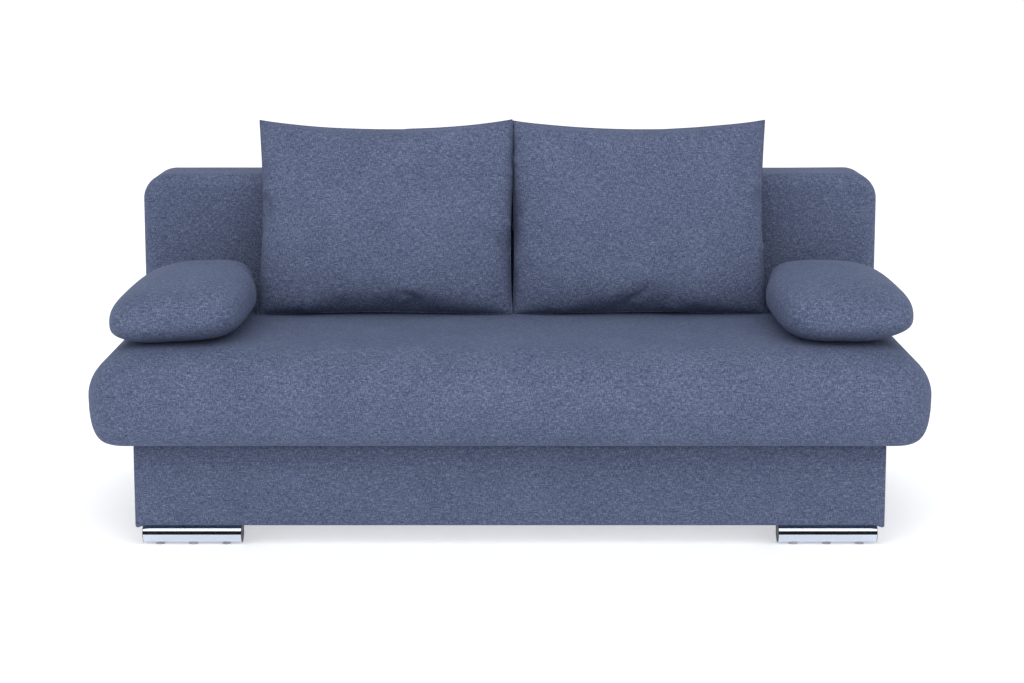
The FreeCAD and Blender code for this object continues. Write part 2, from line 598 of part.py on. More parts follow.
# --- back frame -------------------------------------------------------------------------
frame_depth = ("back_frame_front", "back_frame_rear")
foot_level = "back_bottom + 4"
stile_outer = "stile_inner + timber"
plate_outer = f"{stile_outer} + plate_thickness"
top_rail = ("back_frame_top - timber", "back_frame_top")
stiles, bushes, plates, posts, ties = [], [], [], [], []
for side, sign in SIDES.items():
    low, high = sided(sign, "stile_inner", stile_outer)
    outline = [(frame_depth[0], foot_level), (frame_depth[1], foot_level),
               (frame_depth[1], top_rail[0]), (frame_depth[0], top_rail[0])]
    stiles.append(profile_body(f"Stile_{side}", "YZ_Plane", outline, low, high,
                               [(("pivot_y", "pivot_z"), "pin_radius + bush_wall")]))
    plate_low, plate_high = sided(sign, stile_outer, plate_outer)
    outline = [("back_frame_front + 4", "pivot_z - 40"), ("back_frame_rear - 10", "pivot_z - 40"),
               ("back_frame_rear - 10", "pivot_z + 90"), ("back_frame_front + 4", "pivot_z + 90")]
    plates.append(profile_body(f"SidePlate_{side}", "YZ_Plane", outline, plate_low, plate_high,
                               [(("pivot_y", "pivot_z"), "pin_radius + bush_wall")]))
    bush_x = sided(sign, "stile_inner", plate_outer)
    outer = cylinder(f"BushOuter_{side}", "pin_radius + bush_wall", "timber + plate_thickness",
                     (bush_x[0], "pivot_y", "pivot_z"), "x")
    inner = cylinder(f"BushBore_{side}", "pin_radius + pin_play", "timber + plate_thickness",
                     (bush_x[0], "pivot_y", "pivot_z"), "x")
    bushes.append(cut(f"Bush_{side}", outer, inner))
    posts.append(span_box(f"EndPost_{side}", sided(sign, "back_frame_half - timber", "back_frame_half"),
                          frame_depth, (foot_level, top_rail[0])))
    ties.append(span_box(f"Tie_{side}", sided(sign, plate_outer, "back_frame_half - timber"),
                         frame_depth, ("pivot_z + 100", "pivot_z + 100 + timber")))
node("back_stiles", group("Stiles", stiles))
node("back_end_posts", group("EndPosts", posts))
node("back_pivot_bushes", group("PivotBushes", bushes))
node("back_side_plates", group("SidePlates", plates))
node("back_end_ties", group("EndTies", ties))
node("back_bottom_rail", span_box("BackBottom", ("-stile_inner", "stile_inner"), frame_depth,
                                  (foot_level, f"{foot_level} + timber")))
node("back_top_rail", span_box("BackTop", ("-back_frame_half", "back_frame_half"), frame_depth, top_rail))
node("back_centre_post", span_box("BackCentre", ("-timber / 2", "timber / 2"), frame_depth,
                                  (f"{foot_level} + timber", top_rail[0])))
straps = []
for index in range(10):
    middle = f"({index} - 4.5) * strap_pitch"
    straps.append(span_box(f"Strap_{index}", (f"{middle} - strap_width / 2", f"{middle} + strap_width / 2"),
                           ("back_frame_front - fabric", "back_frame_front"),
                           (foot_level, "back_frame_top")))
node("back_webbing", group("Webbing", straps))
cloth = span_box("BackCloth", ("-back_frame_half", "back_frame_half"),
                 ("back_frame_rear", "back_frame_rear + 1.5"), (foot_level, "back_frame_top"))
notches = [span_box(f"Notch_{side}", sided(sign, plate_outer, "channel_outer + 8"),
                    ("back_frame_rear - 1", "back_rear"), ("back_bottom - 1", "pivot_z + 30"))
           for side, sign in SIDES.items()]
node("back_rear_cloth", cut("BackRearCloth", cloth, group("Notches", notches)))


# --- back foam and cover ----------------------------------------------------------------
def back_slab(inset):
    """The back's outer form, moved inwards: round top corners and softened long edges."""
    half = size("back_half") - inset
    front, rear = size("back_front") + inset, size("back_rear") - inset
    low, high = size("back_bottom") + inset, size("back_top") - inset
    slab = Part.makeBox(2 * half, rear - front, high - low, Vector(-half, front, low))
    corners = [edge for edge in slab.Edges
               if edge.BoundBox.YLength > 1 and edge.BoundBox.ZMin > high - 1]
    slab = slab.makeFillet(size("back_corner") - inset, corners)
    lower_front = [edge for edge in slab.Edges if edge.BoundBox.XLength > 2 * half - 1
                   and edge.BoundBox.ZMax < low + 1 and edge.BoundBox.YMax < front + 1]
    slab = slab.makeFillet(size("back_lower_round") - inset, lower_front)
    rim = [edge for edge in slab.Edges
           if edge.BoundBox.YLength < 0.01 and edge.BoundBox.ZMax > low + 60 and edge.Length > 1]
    return slab.makeFillet(size("back_rim_round") - inset, rim)


strap_face = value("back_frame_front - fabric") - play
back_x = (-size("back_frame_half") - play, size("back_frame_half") + play)
back_hollow = between(back_x, (strap_face, size("back_rear") + 5),
                      (size("back_bottom") - 5, size("back_frame_top") + play))
soft_node("back_foam", back_slab(quilt).cut(back_hollow))
soft_node("back_cover", back_slab(0).cut(back_slab(quilt - 0.1)).cut(back_hollow))


# --- loose cushions ---------------------------------------------------------------------
def pillow(length, depth, height, inset):
    """A soft-cornered block about the origin, moved inwards by the cloth's thickness."""
    block = Part.makeBox(length - 2 * inset, depth - 2 * inset, height - 2 * inset,
                         Vector(-length / 2 + inset, -depth / 2 + inset, -height / 2 + inset))
    return block.makeFillet(0.42 * min(length, depth, height) - inset, block.Edges)


def cushion(name, kind, turn, sign):
    """A cloth case and its fibre filling, resting on the seat."""
    measures = [size(f"{kind}_{side}") for side in CUSHION_SIDES[kind]]
    case, filling = pillow(*measures, 0), pillow(*measures, thick)
    posed = case.copy()
    posed.transformShape(Placement(Vector(), turn).toMatrix())
    lift = size("seat_top") + rest_gap - posed.BoundBox.ZMin
    spot = Placement(Vector(sign * size(f"{kind}_x"), size(f"{kind}_y"), lift), turn)
    for part, shape in (("filling", filling), ("case", case.cut(filling))):
        soft_node(f"{name}_{part}", shape).Placement = spot


rest_gap = 0.6
CUSHION_SIDES = {"back_cushion": ("width", "depth", "height"), "arm_cushion": ("width", "length", "height")}
lean_back = Rotation(Vector(1, 0, 0), -size("back_cushion_lean"))
for side, sign in SIDES.items():
    cushion(f"back_cushion_{side}", "back_cushion", lean_back, sign)
    droop = Rotation(Vector(0, 1, 0), sign * size("arm_cushion_tilt"))
    cushion(f"arm_cushion_{side}", "arm_cushion", droop, sign)

# --- checks and export ------------------------------------------------------------------
doc.recompute()
for item in doc.Objects:
    if {"Invalid", "Error"} & set(item.State):
        raise RuntimeError(f"{item.Name} ({item.Label}) did not build: {item.State}")
os.makedirs("parts", exist_ok=True)
for name, item in NODES.items():
    if item.Shape.isNull() or not item.Shape.isValid():
        raise RuntimeError(f"{name} has no valid shape")
    item.Shape.exportStep(f"parts/{name}.step")
print(f"{len(NODES)} nodes written")
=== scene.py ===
import math
import bmesh
import bpy
import numpy as np
from mathutils import Matrix, Vector, noise


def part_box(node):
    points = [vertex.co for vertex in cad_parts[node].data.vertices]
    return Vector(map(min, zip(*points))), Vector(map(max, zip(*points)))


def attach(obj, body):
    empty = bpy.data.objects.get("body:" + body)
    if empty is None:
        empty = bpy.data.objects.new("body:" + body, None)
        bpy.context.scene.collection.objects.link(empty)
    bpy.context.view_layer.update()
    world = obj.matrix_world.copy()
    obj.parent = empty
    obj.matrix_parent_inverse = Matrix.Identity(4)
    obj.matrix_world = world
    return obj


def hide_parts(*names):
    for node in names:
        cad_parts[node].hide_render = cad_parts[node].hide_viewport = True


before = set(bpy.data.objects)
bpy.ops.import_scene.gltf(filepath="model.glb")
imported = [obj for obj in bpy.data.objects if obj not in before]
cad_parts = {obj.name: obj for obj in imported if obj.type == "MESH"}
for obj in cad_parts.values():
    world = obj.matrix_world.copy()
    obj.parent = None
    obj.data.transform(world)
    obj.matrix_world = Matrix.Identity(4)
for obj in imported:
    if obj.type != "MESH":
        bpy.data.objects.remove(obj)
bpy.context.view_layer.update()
scene = bpy.context.scene

# ---------------------------------------------------------------------------------------
# The studio: a pale floor that runs on without an edge, one wide soft box in front and one
# overhead under a pale sky, and a low dark card that only shows in the chrome.
# ---------------------------------------------------------------------------------------
CAMERA_DISTANCE, CAMERA_HEIGHT, CAMERA_PITCH = 4.838, 1.406, 7.95
CAMERA_LENS, CAMERA_RISE, CAMERA_SIDE = 70.0, -0.12, 0.002
FLOOR_HALF = 90.0
FLOOR_COLOUR, FLOOR_GLOW = (0.92, 0.925, 0.935), 0.24
CARD_NEAR, CARD_HIGH, CARD_HALF = 0.080, 0.064, 1.15
SKY_COLOUR, SKY_LOW, SKY_HIGH, SKY_EVEN_FROM = (0.98, 0.985, 1.0, 1.0), 1.08, 0.84, 0.9


def plain_material(name, colour, roughness, metallic=0.0):
    """A material with its Principled shader and its node tree, ready for detail."""
    material = bpy.data.materials.new(name)
    material.use_nodes = True
    shader = material.node_tree.nodes["Principled BSDF"]
    shader.inputs["Base Color"].default_value = (*colour, 1.0)
    shader.inputs["Roughness"].default_value = roughness
    shader.inputs["Metallic"].default_value = metallic
    return material, shader


def mesh_object(name, verts, faces):
    """A smooth-shaded mesh piece from its points and faces."""
    mesh = bpy.data.meshes.new(name)
    mesh.from_pydata([tuple(v) for v in verts], [], [tuple(f) for f in faces])
    mesh.validate()
    mesh.update()
    mesh.polygons.foreach_set("use_smooth", [True] * len(mesh.polygons))
    piece = bpy.data.objects.new(name, mesh)
    scene.collection.objects.link(piece)
    return piece


floor = mesh_object("studio_floor", [(-FLOOR_HALF, -FLOOR_HALF, 0), (FLOOR_HALF, -FLOOR_HALF, 0),
                                     (FLOOR_HALF, FLOOR_HALF, 0), (-FLOOR_HALF, FLOOR_HALF, 0)],
                    [(0, 1, 2, 3)])
floor_paint, floor_shader = plain_material("studio_floor_paint", FLOOR_COLOUR, 0.75)
floor_shader.inputs["Emission Color"].default_value = (1.0, 1.0, 1.0, 1.0)
floor_shader.inputs["Emission Strength"].default_value = FLOOR_GLOW
floor.data.materials.append(floor_paint)
card_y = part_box("front_foot_tubes")[0][1] - CARD_NEAR
card = mesh_object("studio_dark_card", [(-CARD_HALF, card_y, 0.0), (CARD_HALF, card_y, 0.0),
                                        (CARD_HALF, card_y, CARD_HIGH), (-CARD_HALF, card_y, CARD_HIGH)],
                   [(0, 1, 2, 3)])
card_paint, _ = plain_material("studio_card_paint", (0.012, 0.012, 0.016), 0.9)
card.data.materials.append(card_paint)
card.visible_camera = card.visible_diffuse = card.visible_shadow = False

world = bpy.data.worlds.new("studio_air")
scene.world = world
world.use_nodes = True
sky = world.node_tree
sky_height = sky.nodes.new("ShaderNodeSeparateXYZ")
sky.links.new(sky.nodes.new("ShaderNodeTexCoord").outputs["Generated"], sky_height.inputs[0])
sky_fade = sky.nodes.new("ShaderNodeMapRange")
sky.links.new(sky_height.outputs["Z"], sky_fade.inputs["Value"])
sky_fade.inputs["From Max"].default_value = SKY_EVEN_FROM
sky_fade.inputs["To Min"].default_value = SKY_LOW
sky_fade.inputs["To Max"].default_value = SKY_HIGH
sky.nodes["Background"].inputs["Color"].default_value = SKY_COLOUR
sky.links.new(sky_fade.outputs[0], sky.nodes["Background"].inputs["Strength"])


def soft_box(name, place, target, width, height, watts):
    """A rectangular light aimed at a point."""
    light = bpy.data.lights.new(name, "AREA")
    light.shape = "RECTANGLE"
    light.size, light.size_y, light.energy = width, height, watts
    holder = bpy.data.objects.new(name, light)
    holder.location = place
    holder.rotation_euler = (Vector(target) - Vector(place)).to_track_quat("-Z", "Y").to_euler()
    scene.collection.objects.link(holder)


soft_box("soft_box_front", (0.0, -5.8, 3.4), (0.0, 0.0, 0.4), 9.0, 4.0, 95.0)
soft_box("soft_box_over", (0.0, -3.0, 4.0), (0.0, 0.3, 0.6), 6.0, 3.0, 112.0)

camera_data = bpy.data.cameras.new("camera")
camera_data.lens = CAMERA_LENS
camera_data.shift_x, camera_data.shift_y = CAMERA_SIDE, CAMERA_RISE
camera = bpy.data.objects.new("camera", camera_data)
camera.location = (0.0, -CAMERA_DISTANCE, CAMERA_HEIGHT)
camera.rotation_euler = (math.radians(90.0 - CAMERA_PITCH), 0.0, 0.0)
scene.collection.objects.link(camera)
scene.camera = camera
scene.view_settings.view_transform = "Standard"

# ---------------------------------------------------------------------------------------
# Boards of the bedding box: raw chipboard, butted and screwed at the corners, with
# softwood posts and ledges glued inside.
# ---------------------------------------------------------------------------------------


def new_group(name, inputs, outputs):
    """An empty shader group. Inputs are (name, kind, default) and outputs are (name, kind)."""
    group = bpy.data.node_groups.new(name, "ShaderNodeTree")
    for label, kind, default in inputs:
        socket = group.interface.new_socket(label, in_out="INPUT", socket_type=kind)
        socket.default_value = default
    for label, kind in outputs:
        group.interface.new_socket(label, in_out="OUTPUT", socket_type=kind)
    return group, group.nodes.new("NodeGroupInput"), group.nodes.new("NodeGroupOutput")


def add_node(tree, kind, values=None, **links):
    """A node with settings. Values and links go to its sockets by name, and a link's name
    may be the socket's number after an underscore."""
    item = tree.nodes.new(kind)
    for key, value in (values or {}).items():
        if isinstance(key, str) and hasattr(item, key) and key not in item.inputs:
            setattr(item, key, value)
        else:
            item.inputs[key].default_value = value
    for key, source in links.items():
        tree.links.new(source, item.inputs[int(key[1:]) if key[0] == "_" else key])
    return item


def maths(tree, operation, first, second=None, clamp=False):
    """One Math node; each side is a socket or a number."""
    item = tree.nodes.new("ShaderNodeMath")
    item.operation = operation
    item.use_clamp = clamp
    for index, side in enumerate((first, second)):
        if side is None:
            continue
        if isinstance(side, (int, float)):
            item.inputs[index].default_value = side
        else:
            tree.links.new(side, item.inputs[index])
    return item.outputs[0]


def mix_colours(tree, factor, first, second):
    """A colour mix; each side is a socket or a colour."""
    item = tree.nodes.new("ShaderNodeMix")
    item.data_type = "RGBA"
    for index, side in ((0, factor), (6, first), (7, second)):
        if isinstance(side, (int, float)):
            item.inputs[index].default_value = side
        elif isinstance(side, tuple):
            item.inputs[index].default_value = (*side, 1.0)
        else:
            tree.links.new(side, item.inputs[index])
    return item.outputs[2]


def object_point(tree):
    """The point on the piece, in the piece's own frame."""
    return tree.nodes.new("ShaderNodeTexCoord").outputs["Object"]


def stretched(tree, point, scale):
    """The point multiplied by a scale along each axis."""
    item = tree.nodes.new("ShaderNodeVectorMath")
    item.operation = "MULTIPLY"
    tree.links.new(point, item.inputs[0])
    item.inputs[1].default_value = scale
    return item.outputs[0]


def noise_value(tree, point, scale, detail=2.0, roughness=0.5):
    """Cloudy noise round 0.5."""
    item = add_node(tree, "ShaderNodeTexNoise", {"Scale": scale, "Detail": detail,
                                                 "Roughness": roughness}, Vector=point)
    return item.outputs["Fac"]


def ramp(tree, factor, *stops):
    """A colour ramp from (position, colour) stops."""
    item = tree.nodes.new("ShaderNodeValToRGB")
    tree.links.new(factor, item.inputs[0])
    elements = item.color_ramp.elements
    while len(elements) < len(stops):
        elements.new(0.5)
    for element, (position, colour) in zip(elements, stops):
        element.position = position
        element.color = (*colour, 1.0) if isinstance(colour, tuple) else (colour,) * 3 + (1.0,)
    return item.outputs["Color"]


def bump(tree, shader, height, strength, distance):
    """Send a height to the shader's normal."""
    item = add_node(tree, "ShaderNodeBump", {"Strength": strength, "Distance": distance}, Height=height)
    tree.links.new(item.outputs["Normal"], shader.inputs["Normal"])


def place_group(tree, group, **values):
    """A copy of a group in a material, with its inputs set."""
    item = tree.nodes.new("ShaderNodeGroup")
    item.node_tree = group
    for key, value in values.items():
        item.inputs[key].default_value = value
    return item


def finish_nodes(material, *names):
    """Give CAD nodes their material."""
    for name in names:
        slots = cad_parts[name].data.materials
        slots.clear()
        slots.append(material)


wood_group, wood_in, wood_out = new_group(
    "wood_grain", [("Along", "NodeSocketVector", (1, 1, 1)), ("Light", "NodeSocketColor", (1, 1, 1, 1)),
                   ("Dark", "NodeSocketColor", (0, 0, 0, 1))],
    [("Color", "NodeSocketColor"), ("Height", "NodeSocketFloat")])
wood_scaled = add_node(wood_group, "ShaderNodeVectorMath", {"operation": "MULTIPLY"},
                       _0=object_point(wood_group), _1=wood_in.outputs["Along"])
wood_rings = noise_value(wood_group, wood_scaled.outputs[0], 9.0, 3.0, 0.55)
wood_fibre = noise_value(wood_group, wood_scaled.outputs[0], 90.0, 2.0, 0.6)
wood_mix = maths(wood_group, "ADD", maths(wood_group, "MULTIPLY", wood_rings, 0.7),
                 maths(wood_group, "MULTIPLY", wood_fibre, 0.3))
wood_band = maths(wood_group, "PINGPONG", maths(wood_group, "MULTIPLY", wood_mix, 9.0), 1.0)
wood_colour = mix_colours(wood_group, wood_band, wood_in.outputs["Light"], wood_in.outputs["Dark"])
wood_group.links.new(wood_colour, wood_out.inputs["Color"])
wood_group.links.new(wood_fibre, wood_out.inputs["Height"])


def softwood(name, along):
    """Planed softwood with its grain running along one axis."""
    material, shader = plain_material(name, (0.6, 0.45, 0.28), 0.62)
    tree = material.node_tree
    grain = place_group(tree, wood_group, Along=along, Light=(0.66, 0.50, 0.31, 1),
                        Dark=(0.50, 0.34, 0.19, 1))
    tree.links.new(grain.outputs["Color"], shader.inputs["Base Color"])
    bump(tree, shader, grain.outputs["Height"], 0.35, 0.0006)
    return material


def chipboard(name, paper_below=None):
    """Pressed wood chips with a sanded face, and a pale paper face under a given height."""
    material, shader = plain_material(name, (0.52, 0.39, 0.24), 0.7)
    tree = material.node_tree
    point = object_point(tree)
    chips = add_node(tree, "ShaderNodeTexVoronoi", {"Scale": 260.0}, Vector=point)
    shade = ramp(tree, chips.outputs["Color"], (0.15, (0.36, 0.25, 0.14)), (0.5, (0.55, 0.42, 0.26)),
                 (0.85, (0.68, 0.56, 0.38)))
    if paper_below is not None:
        height = add_node(tree, "ShaderNodeSeparateXYZ", _0=point).outputs[2]
        papered = maths(tree, "LESS_THAN", height, paper_below)
        shade = mix_colours(tree, papered, shade, (0.74, 0.75, 0.78))
    tree.links.new(shade, shader.inputs["Base Color"])
    bump(tree, shader, chips.outputs["Distance"], 0.3, 0.0005)
    return material


GRAIN_X, GRAIN_Y, GRAIN_Z = (0.5, 6, 6), (6, 0.5, 6), (6, 6, 0.5)
PAPER_THICK = 0.001
wood_along_x = softwood("softwood_along_x", GRAIN_X)
wood_along_y = softwood("softwood_along_y", GRAIN_Y)
wood_along_z = softwood("softwood_along_z", GRAIN_Z)
finish_nodes(chipboard("chipboard"), "box_front_board", "box_rear_board", "box_end_boards")
finish_nodes(chipboard("papered_chipboard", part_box("box_floor")[0][2] + PAPER_THICK), "box_floor")
finish_nodes(wood_along_z, "box_corner_posts")
finish_nodes(wood_along_x, "box_floor_ledges")

# ---------------------------------------------------------------------------------------
# Box cover: melange upholstery cloth stretched round the boards, turned over their edges
# and stapled, with a small folded tuck left at each lower front corner. The weave is laid
# on by the face's own direction, so that its threads run level and upright on every side.
# ---------------------------------------------------------------------------------------
THREAD = 0.0016
CLOTH_DARK, CLOTH_MID, CLOTH_LIGHT = (0.025, 0.033, 0.066), (0.069, 0.086, 0.147), (0.152, 0.175, 0.256)
THREAD_ACROSS, THREAD_ALONG, PATCH_SCALE, PATCH_SHARE = 0.85, 0.17, 0.24, 0.85
CLOTH_CONTRAST, WASH_SCALE, WASH_DEPTH = 3.8, 9.0, 0.10

weave_group, weave_in, weave_out = new_group(
    "melange_weave", [("Thread", "NodeSocketFloat", THREAD),
                      ("Dark", "NodeSocketColor", (*CLOTH_DARK, 1)),
                      ("Mid", "NodeSocketColor", (*CLOTH_MID, 1)),
                      ("Light", "NodeSocketColor", (*CLOTH_LIGHT, 1))],
    [("Color", "NodeSocketColor"), ("Height", "NodeSocketFloat")])
tree = weave_group
coordinates = tree.nodes.new("ShaderNodeTexCoord")
place_xyz = add_node(tree, "ShaderNodeSeparateXYZ", _0=coordinates.outputs["Object"])
face_xyz = add_node(tree, "ShaderNodeSeparateXYZ", _0=coordinates.outputs["Normal"])
facing = [maths(tree, "ABSOLUTE", face_xyz.outputs[axis]) for axis in range(3)]
is_top = maths(tree, "GREATER_THAN", facing[2], maths(tree, "MAXIMUM", facing[0], facing[1]))
is_end = maths(tree, "GREATER_THAN", facing[0], maths(tree, "MAXIMUM", facing[1], facing[2]))


def choose(tree, switch, when_off, when_on):
    """One value or the other, or part of each, by the switch's 0 to 1."""
    item = tree.nodes.new("ShaderNodeMix")
    tree.links.new(switch, item.inputs[0])
    tree.links.new(when_off, item.inputs[2])
    tree.links.new(when_on, item.inputs[3])
    return item.outputs[0]


across = choose(tree, is_end, place_xyz.outputs[0], place_xyz.outputs[1])
up = choose(tree, is_top, place_xyz.outputs[2], place_xyz.outputs[1])
warp_at = maths(tree, "DIVIDE", across, weave_in.outputs["Thread"])
weft_at = maths(tree, "DIVIDE", up, weave_in.outputs["Thread"])


def thread_noise(tree, first, second, shift):
    """Streaks that follow a thread: short across it and long along it."""
    point = add_node(tree, "ShaderNodeCombineXYZ", {"Z": shift},
                     X=maths(tree, "MULTIPLY", first, THREAD_ACROSS),
                     Y=maths(tree, "MULTIPLY", second, THREAD_ALONG))
    return noise_value(tree, point.outputs[0], 1.0, 1.0, 0.5)


warp_tone = thread_noise(tree, warp_at, weft_at, 0.0)
weft_tone = thread_noise(tree, weft_at, warp_at, 7.3)
patch_point = add_node(tree, "ShaderNodeCombineXYZ", X=warp_at, Y=weft_at)
patch = noise_value(tree, patch_point.outputs[0], PATCH_SCALE, 1.0, 0.5)
warp_wave = maths(tree, "SINE", maths(tree, "MULTIPLY", warp_at, math.pi))
weft_wave = maths(tree, "SINE", maths(tree, "MULTIPLY", weft_at, math.pi))
crossing = maths(tree, "MULTIPLY", warp_wave, weft_wave)
over = maths(tree, "ADD", maths(tree, "MULTIPLY", crossing, 0.9), 0.5, clamp=True)
patches = ramp(tree, patch, (0.42, 0.0), (0.58, 1.0))
chosen = maths(tree, "ADD", maths(tree, "MULTIPLY", over, 1 - PATCH_SHARE),
               maths(tree, "MULTIPLY", patches, PATCH_SHARE), clamp=True)
tone = choose(tree, chosen, warp_tone, weft_tone)
wash = maths(tree, "SUBTRACT", noise_value(tree, coordinates.outputs["Object"], WASH_SCALE), 0.5)
shade = maths(tree, "ADD", maths(tree, "SUBTRACT", tone, 0.5), maths(tree, "MULTIPLY", wash, WASH_DEPTH))
to_light = maths(tree, "MULTIPLY", shade, CLOTH_CONTRAST, clamp=True)
to_dark = maths(tree, "MULTIPLY", shade, -CLOTH_CONTRAST, clamp=True)
lighter = mix_colours(tree, to_light, weave_in.outputs["Mid"], weave_in.outputs["Light"])
cloth_colour = mix_colours(tree, to_dark, lighter, weave_in.outputs["Dark"])
tree.links.new(cloth_colour, weave_out.inputs["Color"])
ridge = maths(tree, "MAXIMUM", maths(tree, "ABSOLUTE", warp_wave), maths(tree, "ABSOLUTE", weft_wave))
tree.links.new(maths(tree, "ADD", maths(tree, "MULTIPLY", ridge, 0.5), tone), weave_out.inputs["Height"])


def upholstery(name):
    """The woven cover cloth: matt, with a little bloom from its fibres."""
    material, shader = plain_material(name, CLOTH_MID, 0.88)
    shader.inputs["Specular IOR Level"].default_value = 0.14
    shader.inputs["Sheen Weight"].default_value = 0.08
    shader.inputs["Sheen Roughness"].default_value = 0.45
    shader.inputs["Sheen Tint"].default_value = (0.50, 0.62, 1.0, 1.0)
    tree = material.node_tree
    weave = place_group(tree, weave_group, Thread=THREAD, Dark=(*CLOTH_DARK, 1), Mid=(*CLOTH_MID, 1),
                        Light=(*CLOTH_LIGHT, 1))
    tree.links.new(weave.outputs["Color"], shader.inputs["Base Color"])
    bump(tree, shader, weave.outputs["Height"], 0.55, 0.0006)
    return material


cloth = upholstery("upholstery_cloth")


def corner_point(corner, radius, degrees):
    """A point on the arc round a corner's centre; a corner is (across, up, start angle)."""
    angle = math.radians(corner[2] + degrees)
    return np.array([corner[0] + radius * math.cos(angle), corner[1] + radius * math.sin(angle)])


def rounded_outline(half, low, high, radii, counts):
    """A rounded rectangle from -half..half by low..high, anticlockwise from the middle of
    its lower left corner. Counts are the steps along, up and round half a corner."""
    wide, tall, turn = counts
    corners = [(-half + radii[0], low + radii[0], 180), (half - radii[1], low + radii[1], 270),
               (half - radii[2], high - radii[2], 0), (-half + radii[3], high - radii[3], 90)]
    points = []
    for side in range(4):
        a, b = side, (side + 1) % 4
        start = [corner_point(corners[a], radii[a], 45 + 45 * step / turn) for step in range(turn)]
        first = corner_point(corners[a], radii[a], 90)
        last = corner_point(corners[b], radii[b], 0)
        steps = wide if side % 2 == 0 else tall
        straight = [first + (last - first) * (step / steps) for step in range(steps)]
        end = [corner_point(corners[b], radii[b], 45 * step / turn) for step in range(turn)]
        points += start + straight + end
    return np.array(points)


def wrapped_form(stations, counts, cap=True):
    """Points and faces of cloth wrapped round a rounded form.

    A station is (depth, half, low, high, radii). The last one is closed with a smooth
    patch if cap is set. Points are (across, up, depth), and each has its ring's number,
    with the patch one higher than the last.
    """
    rings = [rounded_outline(half, low, high, radii, counts) for _, half, low, high, radii in stations]
    around = len(rings[0])
    points = np.concatenate([np.column_stack([ring, np.full(around, station[0])])
                             for ring, station in zip(rings, stations)])
    faces = []
    for ring in range(len(rings) - 1):
        for index in range(around):
            after = (index + 1) % around
            faces.append((ring * around + index, ring * around + after,
                          (ring + 1) * around + after, (ring + 1) * around + index))
    level = np.repeat(np.arange(len(rings)), around)
    if cap:
        wide, tall = counts[0] + 2 * counts[2], counts[1] + 2 * counts[2]
        last = (len(rings) - 1) * around
        edge = rings[-1]
        south, east = edge[:wide + 1], edge[wide:wide + tall + 1]
        north = edge[wide + tall:2 * wide + tall + 1][::-1]
        west = np.concatenate([edge[2 * wide + tall:], edge[:1]])[::-1]
        u = np.linspace(0, 1, wide + 1)[1:-1, None, None]
        v = np.linspace(0, 1, tall + 1)[None, 1:-1, None]
        inner = ((1 - v) * south[1:-1, None] + v * north[1:-1, None]
                 + (1 - u) * west[None, 1:-1] + u * east[None, 1:-1]
                 - (1 - u) * (1 - v) * south[0] - u * (1 - v) * south[-1]
                 - (1 - u) * v * north[0] - u * v * north[-1])
        base = len(points)
        flat = inner.reshape(-1, 2)
        patch = np.column_stack([flat, np.full(len(flat), stations[-1][0])])
        points = np.concatenate([points, patch])
        level = np.concatenate([level, np.full(len(flat), len(rings))])

        def at(i, j):
            """The number of the patch's point in column i and row j."""
            if j == 0:
                return last + i
            if i == wide:
                return last + wide + j
            if j == tall:
                return last + 2 * wide + tall - i
            if i == 0:
                return last + (2 * wide + 2 * tall - j) % around
            return base + (i - 1) * (tall - 1) + j - 1

        faces += [(at(i, j), at(i + 1, j), at(i + 1, j + 1), at(i, j + 1))
                  for i in range(wide) for j in range(tall)]
    return points, faces, level


def smooth_step(low, high, value):
    """From 0 at low to 1 at high, with level ends."""
    t = np.clip((value - low) / (high - low), 0.0, 1.0)
    return t * t * (3 - 2 * t)


def soft_noise(points, size, seed):
    """Smooth noise in -1..1 over an array of points, with features of about that size."""
    shift = Vector((seed * 13.7, seed * 5.1, seed * 9.3))
    return np.array([noise.noise(Vector(p) / size + shift) for p in points])


BOX_EDGE, BOX_CORNER, BOX_CORNER_MIN = 0.004, 0.006, 0.0015
UNDER_GAP, HEM_UNDER, HEM_INSIDE, HEM_DROP = 0.0006, 0.030, 0.0212, 0.03
RIM_RISE, RIM_INNER, RIM_ROUND, BOX_STEPS = 0.0028, 0.019, 0.003, 24
SWELL_DEEP, SWELL_MIDDLE, SWELL_HALF = 0.0007, 0.15, 0.085
TUCK_NEAR, TUCK_FAR, TUCK_HIGH, TUCK_DEEP = 0.008, 0.022, 0.012, 0.0055
box_lo, box_hi = (np.array(v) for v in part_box("box_cover"))
box_under, box_rim = box_lo[2] - UNDER_GAP, box_hi[2] + RIM_RISE
side_low, side_high = box_lo[2] + BOX_EDGE, box_hi[2] - BOX_EDGE
box_stations = [(box_under, HEM_UNDER), (box_under, 3 * BOX_EDGE), (box_under, BOX_EDGE),
                (box_lo[2] + 0.3 * BOX_EDGE, 0.3 * BOX_EDGE)]
box_stations += [(side_low + (side_high - side_low) * step / BOX_STEPS, 0.0)
                 for step in range(BOX_STEPS + 1)]
box_stations += [(box_rim - 0.3 * BOX_EDGE, 0.3 * BOX_EDGE), (box_rim, BOX_EDGE), (box_rim, RIM_INNER),
                 (box_rim - RIM_ROUND, HEM_INSIDE), (box_hi[2] - HEM_DROP, HEM_INSIDE)]
box_rings = [(height, box_hi[0] - inset, box_lo[1] + inset, box_hi[1] - inset,
              [max(BOX_CORNER - inset, BOX_CORNER_MIN)] * 4) for height, inset in box_stations]
points, faces, _ = wrapped_form(box_rings, (180, 76, 3), cap=False)
on_face = np.abs(points[:, 2] - SWELL_MIDDLE) < SWELL_HALF
swell = SWELL_DEEP * soft_noise(points, 0.16, 1) * on_face
front = points[:, 1] < box_lo[1] + 0.02
points[front, 1] += swell[front]
corner_gap = np.hypot(box_hi[0] - np.abs(points[:, 0]), points[:, 1] - box_lo[1])
tuck = (1 - smooth_step(TUCK_NEAR, TUCK_FAR, corner_gap)) * (points[:, 2] < box_lo[2] + TUCK_HIGH)
points[:, 2] -= TUCK_DEEP * tuck
